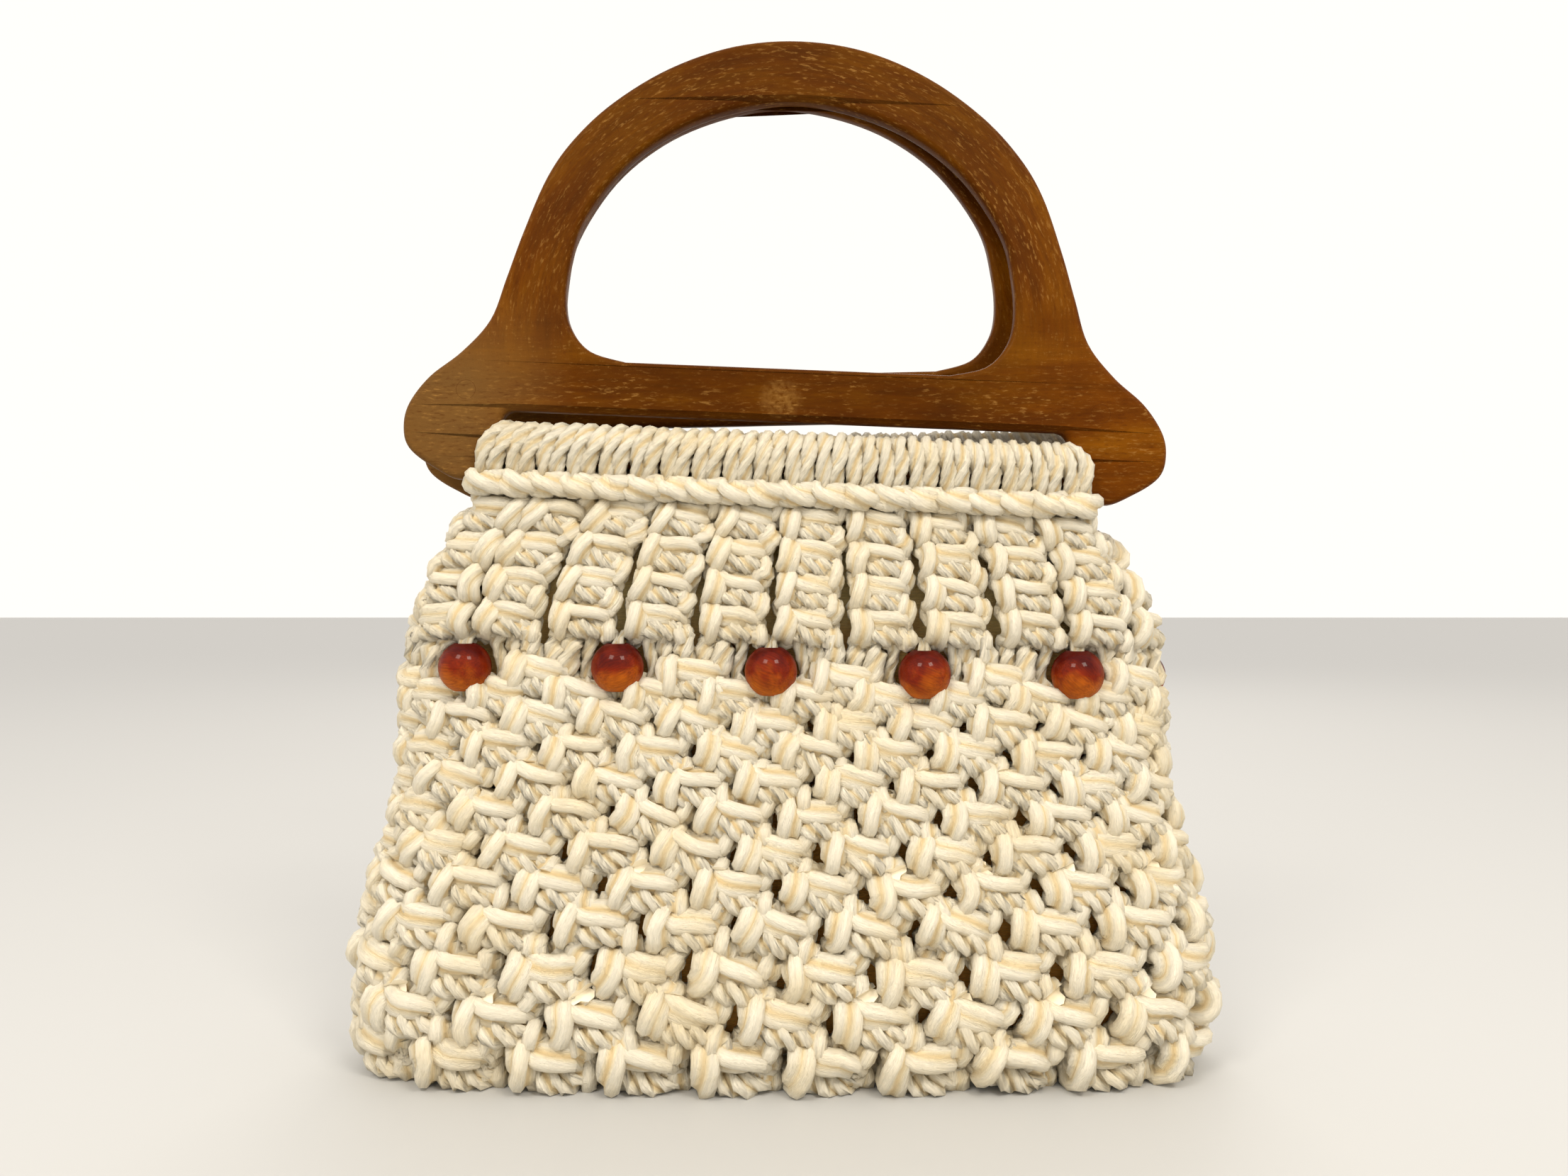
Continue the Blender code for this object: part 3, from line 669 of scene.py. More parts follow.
# %% [markdown]
# ## Handles
#
# The CAD handles are polygons, and at this distance their corners show, so each is made again from the same
# outline with finer steps. A 2D curve fills the outer line and leaves the hand opening and the slot open.
# Its rims are then rounded over. The flat sides stay flat shaded, so that no shadow creeps in from the rims.

# %% Handle outlines
MERGE_DISTANCE = 0.00001
PLATE_ROUND = 0.0019
RIM_ANGLE = math.radians(60)
ROUND_STEPS = 4
HANDLE_RISE = 0.1440
HANDLE_HALF_WIDTH = 0.1272
ARM_SHARE = 0.752
SIDE_BAND = 0.0204
ARCH_BAND = 0.0212
CROSSBAR_HEIGHT = 0.0177
APEX_GAP = 0.0008
OPENING_HALF_WIDTH = ARM_SHARE * HANDLE_HALF_WIDTH - SIDE_BAND
SLOT_LENGTH = 0.1892
SLOT_HEIGHT = 0.0086
SLOT_ROUND = 0.0042
SLOT_FLOOR = LOWER_BAR_HEIGHT / 2
OPENING_FLOOR = SLOT_FLOOR + SLOT_HEIGHT + CROSSBAR_HEIGHT
OPENING_HEIGHT = HANDLE_RISE - ARCH_BAND - OPENING_FLOOR
HANDLE_LEAN = math.asin((BAR_SPACING - PLATE_THICKNESS - APEX_GAP) / 2 / HANDLE_RISE)
OUTLINE_STEPS = 6

# x: share of the half width; z: share of the rise, both from the lower bar's centre
HANDLE_OUTLINE = (
    {"x": 0.000, "z": 1.000},
    {"x": 0.176, "z": 0.981},
    {"x": 0.345, "z": 0.922},
    {"x": 0.490, "z": 0.835},
    {"x": 0.591, "z": 0.743},
    {"x": 0.658, "z": 0.648},
    {"x": 0.713, "z": 0.516},
    {"x": 0.752, "z": 0.403},
    {"x": 0.788, "z": 0.303},
    {"x": 0.858, "z": 0.226},
    {"x": 0.938, "z": 0.165},
    {"x": 0.988, "z": 0.101},
    {"x": 1.000, "z": 0.046},
    {"x": 0.983, "z": -0.004},
    {"x": 0.918, "z": -0.046},
    {"x": 0.840, "z": -0.072},
    {"x": 0.755, "z": -0.033},
)

# x: share of the opening's half width; z: share of its height
OPENING_OUTLINE = (
    {"x": 0.000, "z": 1.000},
    {"x": 0.263, "z": 0.968},
    {"x": 0.521, "z": 0.884},
    {"x": 0.751, "z": 0.741},
    {"x": 0.930, "z": 0.534},
    {"x": 0.988, "z": 0.360},
    {"x": 1.000, "z": 0.215},
    {"x": 0.968, "z": 0.115},
    {"x": 0.880, "z": 0.035},
    {"x": 0.720, "z": 0.000},
)


def smooth_line(rows, width, floor, height):
    """A closed outline of x and z, smooth through a table's rows and their mirror image."""
    points = [(row["x"] * width, floor + row["z"] * height) for row in rows]
    points = [(-points[1][0], points[1][1])] + points + [points[-1]]
    half = []
    for index in range(1, len(points) - 2):
        columns = list(zip(*points[index - 1:index + 3]))
        for step in range(OUTLINE_STEPS):
            half.append(tuple(cubic(*column, step / OUTLINE_STEPS) for column in columns))
    half.append(points[-1])
    return half + [(-x, z) for x, z in reversed(half[1:])]


def slot_line():
    """The slot's outline, with rounded corners."""
    line = []
    for corner, (side_x, side_z) in enumerate(((1, 1), (-1, 1), (-1, -1), (1, -1))):
        centre_x = side_x * (SLOT_LENGTH / 2 - SLOT_ROUND)
        centre_z = SLOT_FLOOR + SLOT_HEIGHT / 2 + side_z * (SLOT_HEIGHT / 2 - SLOT_ROUND)
        for step in range(OUTLINE_STEPS + 1):
            angle = math.pi / 2 * (corner + step / OUTLINE_STEPS)
            line.append((centre_x + SLOT_ROUND * math.cos(angle), centre_z + SLOT_ROUND * math.sin(angle)))
    return line


# %% Handles
def handle_place(front):
    """Where a handle's lower bar lies."""
    side = -1 if front else 1
    turn = FRONT_TURN if front else BACK_TURN
    level = BAR_LEVEL + (0 if front else BACK_RAISE)
    return Matrix.Translation((0, side * BAR_SPACING / 2, level)) @ Matrix.Rotation(turn, 4, "Y")


def handle_mesh(name, front):
    """A plate with rounded rims, standing on its lower bar."""
    curve = bpy.data.curves.new(name, "CURVE")
    curve.dimensions = "2D"
    curve.fill_mode = "BOTH"
    curve.extrude = PLATE_THICKNESS / 2
    for outline in (smooth_line(HANDLE_OUTLINE, HANDLE_HALF_WIDTH, 0, HANDLE_RISE),
                    smooth_line(OPENING_OUTLINE, OPENING_HALF_WIDTH, OPENING_FLOOR, OPENING_HEIGHT),
                    slot_line()):
        spline = curve.splines.new("POLY")
        spline.points.add(len(outline) - 1)
        for point, (x, z) in zip(spline.points, outline):
            point.co = (x, z, 0, 1)
        spline.use_cyclic_u = True
    mesh = curve_mesh(name, curve)
    bm = bmesh.new()
    bm.from_mesh(mesh)
    bmesh.ops.remove_doubles(bm, verts=bm.verts[:], dist=MERGE_DISTANCE)
    bm.normal_update()
    rims = [edge for edge in bm.edges if edge.calc_face_angle(0) > RIM_ANGLE
            and abs(edge.verts[0].co.z - edge.verts[1].co.z) < PLATE_THICKNESS / 2]
    bmesh.ops.bevel(bm, geom=rims, offset=PLATE_ROUND, segments=ROUND_STEPS, affect="EDGES", profile=0.5,
                    material=-1)
    bm.normal_update()
    for face in bm.faces:
        face.smooth = abs(face.normal.z) < 0.999
    lean = Matrix.Rotation(HANDLE_LEAN * (-1 if front else 1), 4, "X")
    bm.transform(handle_place(front) @ lean @ Matrix.Rotation(math.pi / 2, 4, "X"))
    bm.to_mesh(mesh)
    bm.free()
    return mesh


handle_pieces = []
for node, front in (("front_handle", True), ("back_handle", False)):
    piece = new_object(node + "_smooth", handle_mesh(node + "_smooth", front))
    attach(piece, "root")
    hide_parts(node)
    handle_pieces.append(piece)
print("Handles:", [len(piece.data.vertices) for piece in handle_pieces], "vertices")

# %% [markdown]
# ## The loops over the bars
#
# Each cord is folded and hung over the bar: both halves come down in front, and the fold passes under the
# bar and lies across them as a fat little bump. It is one cord, so it is one path. The path is written for a
# bar along X with its front towards -Y, and is then set on each handle.

# %% Loops over the bars
HALF_PITCH = HEAD_PITCH / 4
LOOP_LEAN = 0.0012
LOOP_SHAKE = 0.00018
LOOP_TWIST = 0.9
WRAP_SWELL = 1.28
BUMP_SWELL = 1.85
WRAPS_TOP_TAPER = 0.07
FRONT_REACH = PLATE_THICKNESS / 2 + CORD / 2
TOP_REACH = LOWER_BAR_HEIGHT / 2 + CORD / 2


def bar_loop():
    """Half the way of one folded cord, from the middle of the bump to the foot of one leg, in metres."""
    return (
        (0.0, -FRONT_REACH - 0.0022, -0.0117),
        (0.0026, -FRONT_REACH - 0.0017, -0.0115),
        (0.0045, -FRONT_REACH + 0.0005, -0.0108),
        (0.0046, -0.0015, -0.0095),
        (0.0038, FRONT_REACH - 0.0012, -0.0066),
        (HALF_PITCH, FRONT_REACH, 0.0),
        (HALF_PITCH + LOOP_LEAN / 2, FRONT_REACH * 0.72, TOP_REACH * 0.8),
        (HALF_PITCH + LOOP_LEAN, 0.0, TOP_REACH),
        (HALF_PITCH + LOOP_LEAN, -FRONT_REACH * 0.78, TOP_REACH * 0.8),
        (HALF_PITCH + LOOP_LEAN / 2, -FRONT_REACH - 0.0003, 0.0015),
        (HALF_PITCH - LOOP_LEAN / 2, -FRONT_REACH + 0.0002, -0.0045),
        (HALF_PITCH - LOOP_LEAN / 2, -FRONT_REACH + 0.0024, -0.0095),
        (HALF_PITCH, -0.0008, -0.0145),
        (HALF_PITCH, 0.0, -0.0175),
    )


def gathered(point):
    """A point of a loop drawn in towards the middle on top of the bar, and kept inside the slot."""
    rise = max(point.z, 0.0) / (TOP_REACH + CORD / 2)
    x = point.x * (1 - WRAPS_TOP_TAPER * rise)
    if rise > 0 and abs(point.y) < PLATE_THICKNESS / 2:
        reach = SLOT_LENGTH / 2 - CORD / 2
        x = max(-reach, min(reach, x))
    return Vector((x, point.y, point.z))


for name, front in (("front_wraps", True), ("back_wraps", False)):
    placed = handle_place(front)
    if not front:
        placed = placed @ Matrix.Rotation(math.pi, 4, "Z")
    paths = []
    for head in range(HEADS):
        middle = (head + 0.5 - HEADS / 2) * HEAD_PITCH
        half = bar_loop()
        right = [Vector(point) for point in half]
        left = [Vector((-point[0] + (2 * LOOP_LEAN if 6 <= index <= 8 else LOOP_LEAN if index == 9 else 0),
                        point[1], point[2])) for index, point in enumerate(half)]
        line = left[:0:-1] + right
        path = []
        for index, point in enumerate(line):
            shake = Vector((middle + random.gauss(0, LOOP_SHAKE), random.gauss(0, LOOP_SHAKE),
                            random.gauss(0, LOOP_SHAKE)))
            swell = BUMP_SWELL if abs(index - len(half) + 1) < 3 else WRAP_SWELL
            path.append((placed @ gathered(point + shake), CORD / 2 * swell, LOOP_TWIST))
        paths.append(path)
    piece = cords(name + "_cords", paths)
    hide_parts(name)
    cord_pieces.append(piece)
print("Loops on each bar:", HEADS)

# %% [markdown]
# ## Beads
#
# The beads are turned wood, drilled and varnished. A half outline with rounded bore edges is spun round the
# upright axis, which gives the bead and its bore in one closed skin. The CAD beads have ten sides, so a
# smooth one takes the place of each.

# %% Beads
BEAD_BORE = 0.006
BEAD_STEPS = 16
BEAD_SPIN = 40
BORE_ROUND = 0.0005
BORE_ANGLE = math.radians(35)


def bead_mesh(name, middle):
    """A drilled ball about a place, from a spun half outline."""
    bm = bmesh.new()
    radius = BEAD_DIAMETER / 2
    start = math.asin(BEAD_BORE / BEAD_DIAMETER)
    outline = []
    for step in range(BEAD_STEPS + 1):
        angle = start + (math.pi - 2 * start) * step / BEAD_STEPS
        outline.append(bm.verts.new((radius * math.sin(angle), 0, radius * math.cos(angle))))
    edges = [bm.edges.new(pair) for pair in zip(outline, outline[1:] + outline[:1])]
    bmesh.ops.spin(bm, geom=outline + edges, cent=(0, 0, 0), axis=(0, 0, 1), angle=2 * math.pi,
                   steps=BEAD_SPIN, use_merge=True)
    bmesh.ops.remove_doubles(bm, verts=bm.verts[:], dist=MERGE_DISTANCE)
    bmesh.ops.recalc_face_normals(bm, faces=bm.faces[:])
    rims = [edge for edge in bm.edges if edge.calc_face_angle(0) > BORE_ANGLE]
    bmesh.ops.bevel(bm, geom=rims, offset=BORE_ROUND, segments=2, affect="EDGES", profile=0.5, material=-1)
    bmesh.ops.translate(bm, verts=bm.verts[:], vec=middle)
    mesh = written(name, bm)
    mesh.shade_smooth()
    return mesh


bead_pieces = []
for node in BEAD_NODES:
    low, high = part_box(node)
    piece = new_object(node + "_turned", bead_mesh(node + "_turned", (low + high) / 2))
    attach(piece, "root")
    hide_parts(node)
    bead_pieces.append(piece)
print("Beads:", len(bead_pieces))

# %% [markdown]
# ## Lining
#
# Inside the knots hangs a thin bag of ribbed khaki cloth, which shows between the sinnets. Low down, where it
# shows through the holes of the net, it is painted deep gold as painted shade. It is one sheet, folded up from
# the floor and sewn at the sides, so it follows the wall grid a little inside the cords. Solidify gives the
# cloth its thickness.

# %% Lining
LINING_OFF = -0.0072
LINING_CLOTH = 0.0006
LINING_FLOOR = 0.0145
LINING_REACH = 0.9
LINING_TOP = SINNET_FOOT + SINNET_LENGTH * LINING_REACH
LINING_DRAW = 0.0016
RIPPLE_HEIGHT = 0.0005
RIPPLES = 23
RIPPLE_DRIFT = 3
DRIFT_RATE = 19
LINING_COLUMNS = 120
LINING_ROWS = 40


def lining_point(across, up):
    """A point of the lining from its shares across the whole width and up from the floor."""
    level = LINING_FLOOR + (LINING_TOP - LINING_FLOOR) * up
    phase = across * 2 * math.pi * RIPPLES + RIPPLE_DRIFT * math.sin(across * DRIFT_RATE)
    ripple = RIPPLE_HEIGHT * math.sin(phase) * up ** 2
    return on_wall(across, level, LINING_OFF - LINING_DRAW * up + ripple)


bm = bmesh.new()
bmesh.ops.create_grid(bm, x_segments=LINING_COLUMNS, y_segments=LINING_ROWS, size=0.5)
bmesh.ops.translate(bm, verts=bm.verts[:], vec=(0.5, 0.5, 0))
rolled = {vert: lining_point(vert.co.x, vert.co.y) for vert in bm.verts}
for vert, place in rolled.items():
    vert.co = place
bmesh.ops.remove_doubles(bm, verts=bm.verts[:], dist=MERGE_DISTANCE)
rim = [edge for edge in bm.edges if edge.is_boundary and max(v.co.z for v in edge.verts) < 0.05]
bmesh.ops.holes_fill(bm, edges=rim, sides=0)
bmesh.ops.triangulate(bm, faces=[face for face in bm.faces if len(face.verts) > 4])
bmesh.ops.recalc_face_normals(bm, faces=bm.faces[:])
lining_area = sum(face.calc_area() for face in bm.faces)
lining = new_object("lining_cloth", written("lining_cloth", bm))
lining.data.shade_smooth()
wall = lining.modifiers.new("Cloth", "SOLIDIFY")
wall.thickness = LINING_CLOTH
wall.offset = 0
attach(lining, "root")
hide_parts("lining")

# %% [markdown]
# ## Finishes
#
# Every finish is a small network of nodes on a Principled shader. Two effects come back in several finishes,
# so each is a node group with named inputs: streaks, for wood grain and for the fibres of a ply, and patches,
# for stains, scuffs, uneven dye and the painted shade on the lining. Short helpers add a node and fill in its
# sockets, do one sum, bring a value into a range, tone a colour, and dress pieces in a finish.

# %% Helpers for node networks
def add_node(tree, kind, inputs=None, **settings):
    """A node with its settings, and a value or a link for each named or numbered input."""
    node = tree.nodes.new("ShaderNode" + kind)
    for key, value in settings.items():
        setattr(node, key, value)
    for key, value in (inputs or {}).items():
        if isinstance(value, bpy.types.NodeSocket):
            tree.links.new(value, node.inputs[key])
        else:
            node.inputs[key].default_value = value
    return node


def ramp(tree, factor, stops):
    """A colour ramp with stops of position and colour."""
    node = add_node(tree, "ValToRGB", {"Fac": factor})
    elements = node.color_ramp.elements
    while len(elements) < len(stops):
        elements.new(0.5)
    for element, (position, colour) in zip(elements, stops):
        element.position = position
        element.color = (*colour, 1.0)
    return node.outputs["Color"]


def mix_colours(tree, factor, first, second, blend="MIX"):
    """Two colours, mixed by a factor."""
    node = add_node(tree, "Mix", {"Factor": factor}, data_type="RGBA", blend_type=blend)
    for socket, value in ((node.inputs[6], first), (node.inputs[7], second)):
        if isinstance(value, bpy.types.NodeSocket):
            tree.links.new(value, socket)
        else:
            socket.default_value = (*value, 1.0)
    return node.outputs[2]


def math_node(tree, operation, first, second):
    return add_node(tree, "Math", {0: first, 1: second}, operation=operation).outputs[0]


def window(tree, value, start, stop, low=0.0, high=1.0):
    """A value between start and stop, brought between low and high and held there."""
    return add_node(tree, "MapRange", {"Value": value, "From Min": start, "From Max": stop, "To Min": low,
                                       "To Max": high}).outputs[0]


def toned(tree, colour, value, start, stop, low, high):
    """A colour made darker or lighter by a value: low times as light at start, high times at stop."""
    return mix_colours(tree, 1.0, colour, window(tree, value, start, stop, low, high), "MULTIPLY")


def new_group(name, inputs, outputs):
    """A shader node group with float inputs, but for a vector named Place."""
    group = bpy.data.node_groups.new(name, "ShaderNodeTree")
    for label, default in inputs:
        kind = "NodeSocketVector" if label == "Place" else "NodeSocketFloat"
        socket = group.interface.new_socket(label, in_out="INPUT", socket_type=kind)
        if default is not None:
            socket.default_value = default
    for label in outputs:
        group.interface.new_socket(label, in_out="OUTPUT", socket_type="NodeSocketFloat")
    return group, group.nodes.new("NodeGroupInput"), group.nodes.new("NodeGroupOutput")


streaks_group, given, made = new_group("streaks", (("Place", None), ("Length", 20.0), ("Width", 300.0)),
                                       ("Mask",))
stretch = add_node(streaks_group, "CombineXYZ", {"X": given.outputs["Length"], "Y": given.outputs["Width"],
                                                 "Z": given.outputs["Width"]})
scaled = add_node(streaks_group, "VectorMath", {0: given.outputs["Place"], 1: stretch.outputs[0]},
                  operation="MULTIPLY")
noise = add_node(streaks_group, "TexNoise", {"Vector": scaled.outputs[0], "Scale": 1.0, "Detail": 3.0,
                                             "Roughness": 0.6})
streaks_group.links.new(noise.outputs["Fac"], made.inputs["Mask"])

patches_group, given, made = new_group("patches", (("Place", None), ("Scale", 60.0), ("From", 0.5),
                                                   ("To", 0.65)), ("Mask",))
noise = add_node(patches_group, "TexNoise", {"Vector": given.outputs["Place"], "Detail": 5.0,
                                             "Scale": given.outputs["Scale"], "Roughness": 0.6})
mask = window(patches_group, noise.outputs["Fac"], given.outputs["From"], given.outputs["To"])
patches_group.links.new(mask, made.inputs["Mask"])


def streaks(tree, place, length, width):
    """Mask of fine streaks along X."""
    node = add_node(tree, "Group", node_tree=streaks_group)
    tree.links.new(place, node.inputs["Place"])
    node.inputs["Length"].default_value = length
    node.inputs["Width"].default_value = width
    return node.outputs["Mask"]


def patches(tree, place, scale, start, stop):
    """Mask of soft patches, 0 below start and 1 above stop."""
    node = add_node(tree, "Group", node_tree=patches_group)
    tree.links.new(place, node.inputs["Place"])
    node.inputs["Scale"].default_value = scale
    node.inputs["From"].default_value = start
    node.inputs["To"].default_value = stop
    return node.outputs["Mask"]


def new_finish(name, **constants):
    """A material, its tree, its Principled shader and its object coordinates."""
    material = bpy.data.materials.new(name)
    material.use_nodes = True
    tree = material.node_tree
    shader = tree.nodes["Principled BSDF"]
    for key, value in constants.items():
        shader.inputs[key.replace("_", " ").title().replace("Ior", "IOR")].default_value = value
    place = add_node(tree, "TexCoord").outputs["Object"]
    return material, tree, shader, place


def bump(tree, shader, height, strength, distance):
    """A Bump node from a height to the shader's normal."""
    node = add_node(tree, "Bump", {"Height": height, "Strength": strength, "Distance": distance})
    tree.links.new(node.outputs[0], shader.inputs["Normal"])


def dress(finish, *wearers):
    """Give pieces one finish."""
    for wearer in wearers:
        wearer.data.materials.clear()
        wearer.data.materials.append(finish)
    print(finish.name, "on", len(wearers), "pieces, from", len(finish.node_tree.nodes), "nodes")


# %% [markdown]
# ### The cord's finish
#
# The cord is cream yarn with a silky shine. Its colour carries painted light: a near-white painted highlight
# over the tops of the plies and a yellow painted shade down in the grooves between them. The attribute cord_lay
# says where on the cord a point is. The cosine of three times the angle round the cord is 1 on top of each ply
# and -1 in the grooves.
# Streaks along the same attribute are the fibres.

# %% Cord finish
CORD_CREST_HIGHLIGHT = (0.98, 0.90, 0.72)
CORD_CREAM = (0.95, 0.81, 0.54)
CORD_GROOVE_SHADE = (0.84, 0.64, 0.34)
CORD_STAIN = (0.55, 0.33, 0.14)

cord_finish, tree, shader, place = new_finish("cord_yarn", roughness=0.5, sheen_weight=0.08,
                                              sheen_roughness=0.4, sheen_tint=(1.0, 0.85, 0.6, 1.0),
                                              specular_ior_level=0.3)
lay = add_node(tree, "Attribute", attribute_name="cord_lay").outputs["Vector"]
parts = add_node(tree, "SeparateXYZ", {0: lay})
cosine = parts.outputs["Y"]
four_squares = math_node(tree, "MULTIPLY", math_node(tree, "MULTIPLY", cosine, cosine), 4.0)
ply_light_and_shade = math_node(tree, "MULTIPLY", math_node(tree, "SUBTRACT", four_squares, 3.0), cosine)
fibres = streaks(tree, lay, 200.0, 6.0)
fine_fibres = streaks(tree, lay, 900.0, 30.0)
# Painted highlight on the tops of the plies, painted shade in the grooves, cream between them
base = ramp(tree, window(tree, ply_light_and_shade, -1.0, 0.6), ((0.0, CORD_GROOVE_SHADE), (0.13, CORD_CREAM), (0.5, CORD_CREST_HIGHLIGHT)))
base = mix_colours(tree, patches(tree, place, 45.0, 0.45, 0.75), base, CORD_CREAM)
base = mix_colours(tree, patches(tree, place, 26.0, 0.69, 0.76), base, CORD_STAIN)
base = toned(tree, base, fibres, 0.3, 0.7, 0.87, 1.04)
tree.links.new(base, shader.inputs["Base Color"])
bump(tree, shader, math_node(tree, "ADD", fibres, fine_fibres), 1.0, 0.0005)
tree.links.new(window(tree, fine_fibres, 0.35, 0.65, 0.36, 0.66), shader.inputs["Roughness"])
dress(cord_finish, *cord_pieces)

# %% [markdown]
# ### Varnished beads
#
# The wood is orange with a fine grain, and painted shade turns it dark red towards the top of each bead, where
# the cords lie over it. Each bead keeps its own coordinates in an attribute, counted in its radius and turned
# at random, so the grain differs while the painted shade stays on top. A clear coat over the wood gives the two
# sharp highlights.

# %% Bead finish
BEAD_TOP_SHADE = (0.06, 0.0015, 0.0001)
BEAD_RED_SHADE = (0.17, 0.013, 0.0002)
BEAD_ORANGE = (0.38, 0.085, 0.002)

bead_finish, tree, shader, place = new_finish("varnished_bead", roughness=0.45, coat_weight=0.2,
                                              coat_roughness=0.05, specular_ior_level=0.04)
spot = add_node(tree, "Attribute", attribute_name="bead_spot").outputs["Vector"]
rise = add_node(tree, "Attribute", attribute_name="bead_shade_height").outputs["Fac"]
blotch = add_node(tree, "TexNoise", {"Vector": spot, "Scale": 1.3, "Detail": 2.0}).outputs["Fac"]
# Painted shade: darker red towards the top of each bead, with random blotches in the wood's own tone
shade_and_blotch = math_node(tree, "ADD", rise, window(tree, blotch, 0.3, 0.7, -0.35, 0.35))
base = ramp(tree, window(tree, shade_and_blotch, -0.7, 0.9), ((0.0, BEAD_ORANGE), (0.5, BEAD_RED_SHADE), (0.9, BEAD_TOP_SHADE)))
base = toned(tree, base, streaks(tree, spot, 1.2, 16.0), 0.35, 0.65, 0.75, 1.2)
tree.links.new(base, shader.inputs["Base Color"])
for piece, node in zip(bead_pieces, BEAD_NODES):
    low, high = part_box(node)
    middle = (low + high) / 2
    angle = random.uniform(0, 6.28)
    turned = Matrix.Rotation(angle, 3, Vector((random.gauss(0, 1), random.gauss(0, 1), 0.4)))
    spots, shade_heights = [], []
    for vertex in piece.data.vertices:
        local = (vertex.co - middle) / (BEAD_DIAMETER / 2)
        spots += list(turned @ local)
        shade_heights.append(local.z)
    piece.data.attributes.new("bead_spot", "FLOAT_VECTOR", "POINT").data.foreach_set("vector", spots)
    piece.data.attributes.new("bead_shade_height", "FLOAT", "POINT").data.foreach_set("value", shade_heights)
dress(bead_finish, *bead_pieces)

# %% [markdown]
# ### Ribbed lining cloth
#
# The lining is a ribbed khaki cloth where it shows between the sinnets, painted gold low down as painted shade
# and mottled with darker patches of painted shade. A wave over the height gives ribs three to a millimetre and
# a half, both as colour and as bump.

# %% Lining finish
LINING_GOLD_SHADE = (0.95, 0.47, 0.08)
LINING_KHAKI = (0.90, 0.70, 0.30)
LINING_PATCH_SHADE = (0.60, 0.30, 0.06)

lining_finish, tree, shader, place = new_finish("ribbed_lining", roughness=0.7, sheen_weight=0.2)
parts = add_node(tree, "SeparateXYZ", {0: place})
# Painted shade: deep gold low down behind the net, the cloth's own khaki higher up
base = mix_colours(tree, window(tree, parts.outputs["Z"], 0.125, 0.15), LINING_GOLD_SHADE, LINING_KHAKI)
ribs = add_node(tree, "TexWave", {"Vector": place, "Scale": 620.0, "Distortion": 0.6, "Detail": 2.0},
                bands_direction="Z").outputs["Fac"]
base = toned(tree, base, ribs, 0.0, 1.0, 0.7, 1.1)
# Darker patches at random are painted shade
base = mix_colours(tree, patches(tree, place, 40.0, 0.5, 0.8), base, LINING_PATCH_SHADE)
tree.links.new(base, shader.inputs["Base Color"])
bump(tree, shader, ribs, 0.5, 0.0002)
dress(lining_finish, lining)

# %% [markdown]
# ### Stained handles
#
# The handles are stained brown under a satin varnish. Along the crossbar the grain runs straight, and round
# the arch it follows the bend, so the finish has two sets of coordinates: the object's own, and one that
# counts along the arc and across it. Short pale and dark flecks lie all over. The lobe at the left is greyer,
# the middle of the crossbar is rubbed pale, and four faint rings show where the plugs over the pins are.

# %% Handle finish
HANDLE_DARK = (0.055, 0.010, 0.0003)
HANDLE_BROWN = (0.118, 0.030, 0.0004)
HANDLE_LIGHT = (0.180, 0.057, 0.001)
HANDLE_GREY = (0.140, 0.072, 0.020)
FLECK_PALE = (0.34, 0.17, 0.04)
ARCH_CENTRE = 0.245
ARCH_RADIUS = 0.09
RUBBED = (-0.0012, 0.224)
PLUG_RADIUS = 0.0032
PLUG_LINE = 0.00014
PLUGS = ((-0.1059, 0.2271), (0.1054, 0.2189), (0.0679, 0.3105), (-0.0588, 0.3141))


def flat_distance(tree, place, x, z):
    """Distance from an upright line of sight through a point of x and z."""
    moved = add_node(tree, "VectorMath", {0: place, 1: (-x, 0, -z)}, operation="ADD")
    pressed = add_node(tree, "VectorMath", {0: moved.outputs[0], 1: (1, 0, 1)}, operation="MULTIPLY")
    return add_node(tree, "VectorMath", {0: pressed.outputs[0]}, operation="LENGTH").outputs["Value"]


handle_finish, tree, shader, place = new_finish("stained_handle", specular_ior_level=0.07,
                                                specular_tint=(1.0, 0.75, 0.4, 1.0))
parts = add_node(tree, "SeparateXYZ", {0: place})
rise = math_node(tree, "SUBTRACT", parts.outputs["Z"], ARCH_CENTRE)
angle = math_node(tree, "ARCTAN2", parts.outputs["X"], rise)
round_place = add_node(tree, "CombineXYZ", {"X": math_node(tree, "MULTIPLY", angle, ARCH_RADIUS),
                                            "Y": flat_distance(tree, place, 0, ARCH_CENTRE),
                                            "Z": parts.outputs["Y"]}).outputs[0]
arch = window(tree, parts.outputs["Z"], 0.228, 0.258)


def grain(length, width):
    """Streaks along the bar, turning into streaks round the arch."""
    node = add_node(tree, "Mix", {"Factor": arch, 2: streaks(tree, place, length, width),
                                  3: streaks(tree, round_place, length, width)})
    return node.outputs[0]


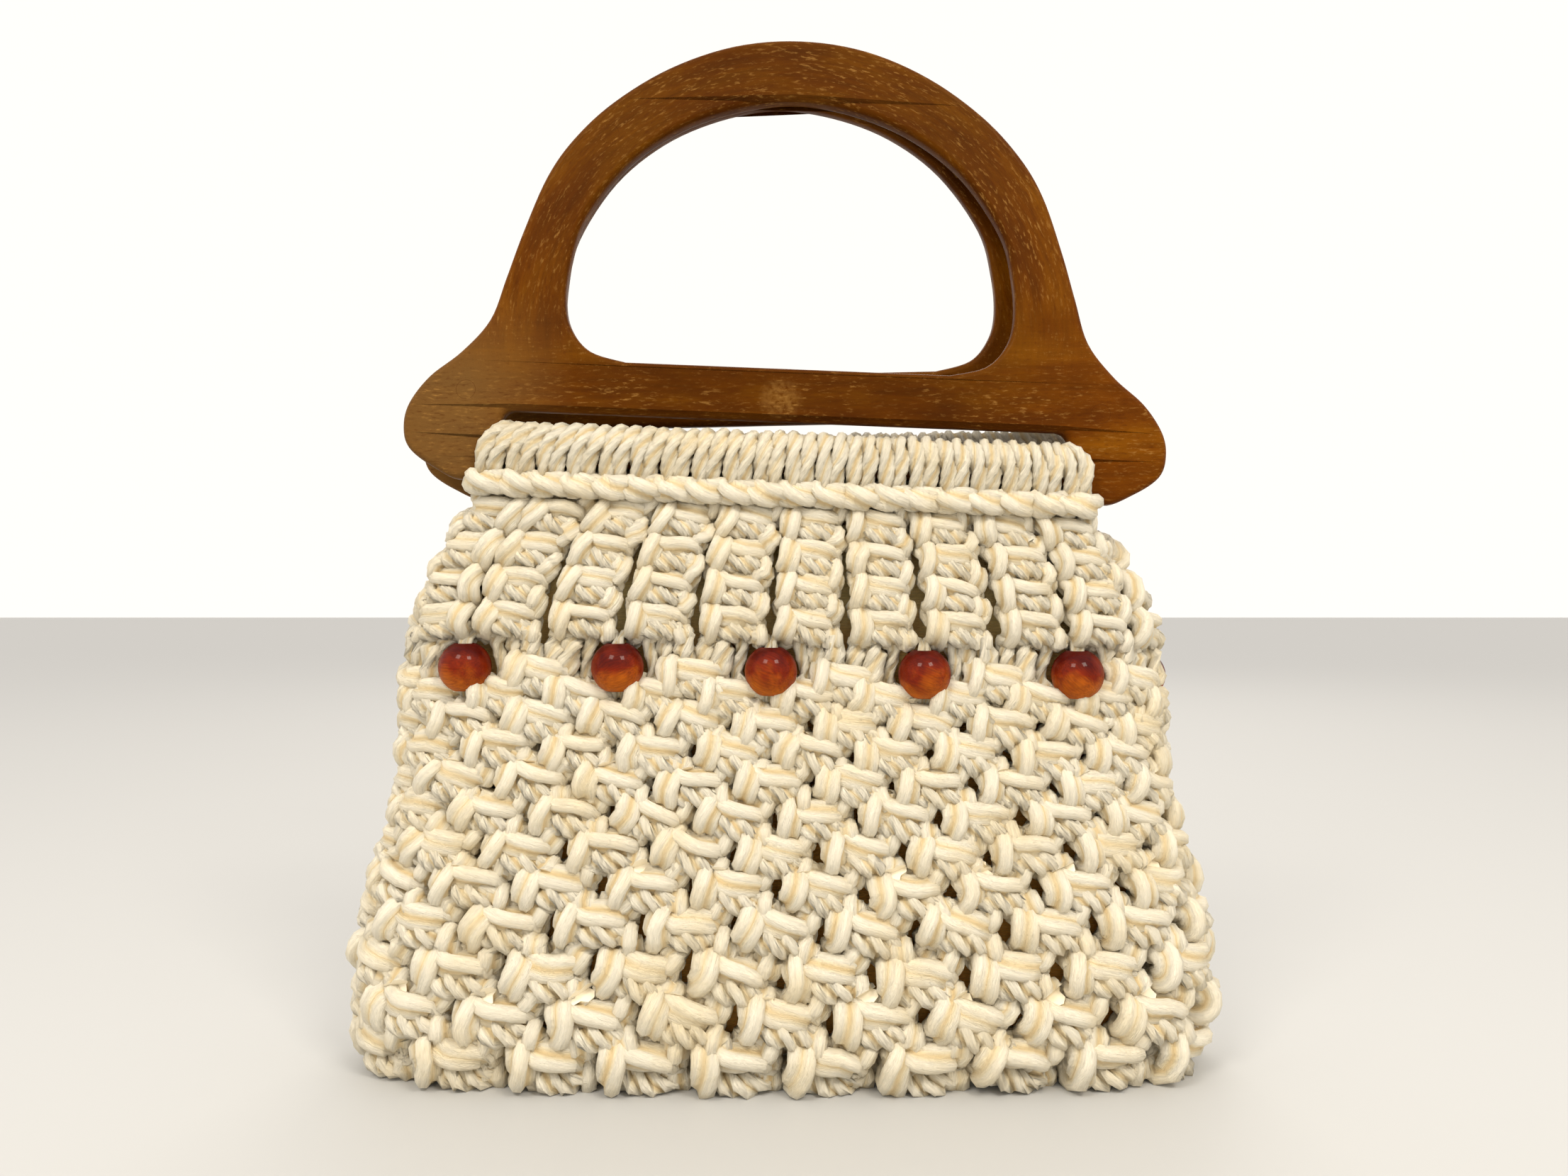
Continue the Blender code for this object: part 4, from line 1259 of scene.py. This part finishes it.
fine, broad, flecks = grain(40.0, 700.0), grain(25.0, 90.0), grain(330.0, 1300.0)
base = ramp(tree, broad, ((0.15, HANDLE_DARK), (0.46, HANDLE_BROWN), (0.72, HANDLE_LIGHT)))
base = toned(tree, base, fine, 0.3, 0.7, 0.86, 1.16)
base = toned(tree, base, math_node(tree, "ABSOLUTE", parts.outputs["X"], 0.0), 0.06, 0.11, 0.6, 1.0)
lobe = math_node(tree, "MULTIPLY", window(tree, parts.outputs["X"], -0.070, -0.105),
                 window(tree, parts.outputs["Z"], 0.262, 0.232))
base = mix_colours(tree, math_node(tree, "MULTIPLY", lobe, 0.75), base, HANDLE_GREY)
worn = patches(tree, place, 55.0, 0.40, 0.64)
often = math_node(tree, "ADD", math_node(tree, "MULTIPLY", worn, 0.45), 0.12)
pale = math_node(tree, "MULTIPLY", window(tree, flecks, 0.56, 0.70), often)
base = mix_colours(tree, pale, base, FLECK_PALE)
base = mix_colours(tree, window(tree, flecks, 0.44, 0.30, 0.0, 0.45), base, HANDLE_DARK)
rubbed = math_node(tree, "MULTIPLY", window(tree, flat_distance(tree, place, *RUBBED), 0.008, 0.003),
                   patches(tree, place, 500.0, 0.36, 0.62))
base = mix_colours(tree, math_node(tree, "MULTIPLY", rubbed, 0.35), base, FLECK_PALE)
rings = None
for x, z in PLUGS:
    off = math_node(tree, "SUBTRACT", flat_distance(tree, place, x, z), PLUG_RADIUS)
    ring = window(tree, math_node(tree, "ABSOLUTE", off, 0.0), PLUG_LINE, 0.0)
    rings = ring if rings is None else math_node(tree, "MAXIMUM", rings, ring)
base = mix_colours(tree, math_node(tree, "MULTIPLY", rings, 0.55), base, HANDLE_DARK)
tree.links.new(base, shader.inputs["Base Color"])
tree.links.new(window(tree, worn, 0.0, 1.0, 0.34, 0.52), shader.inputs["Roughness"])
height = math_node(tree, "ADD", math_node(tree, "MULTIPLY", fine, 0.3), flecks)
height = math_node(tree, "SUBTRACT", height, rings)
bump(tree, shader, height, 0.15, 0.0003)
dress(handle_finish, *handle_pieces)

# %% Update the view layer
bpy.context.view_layer.update()
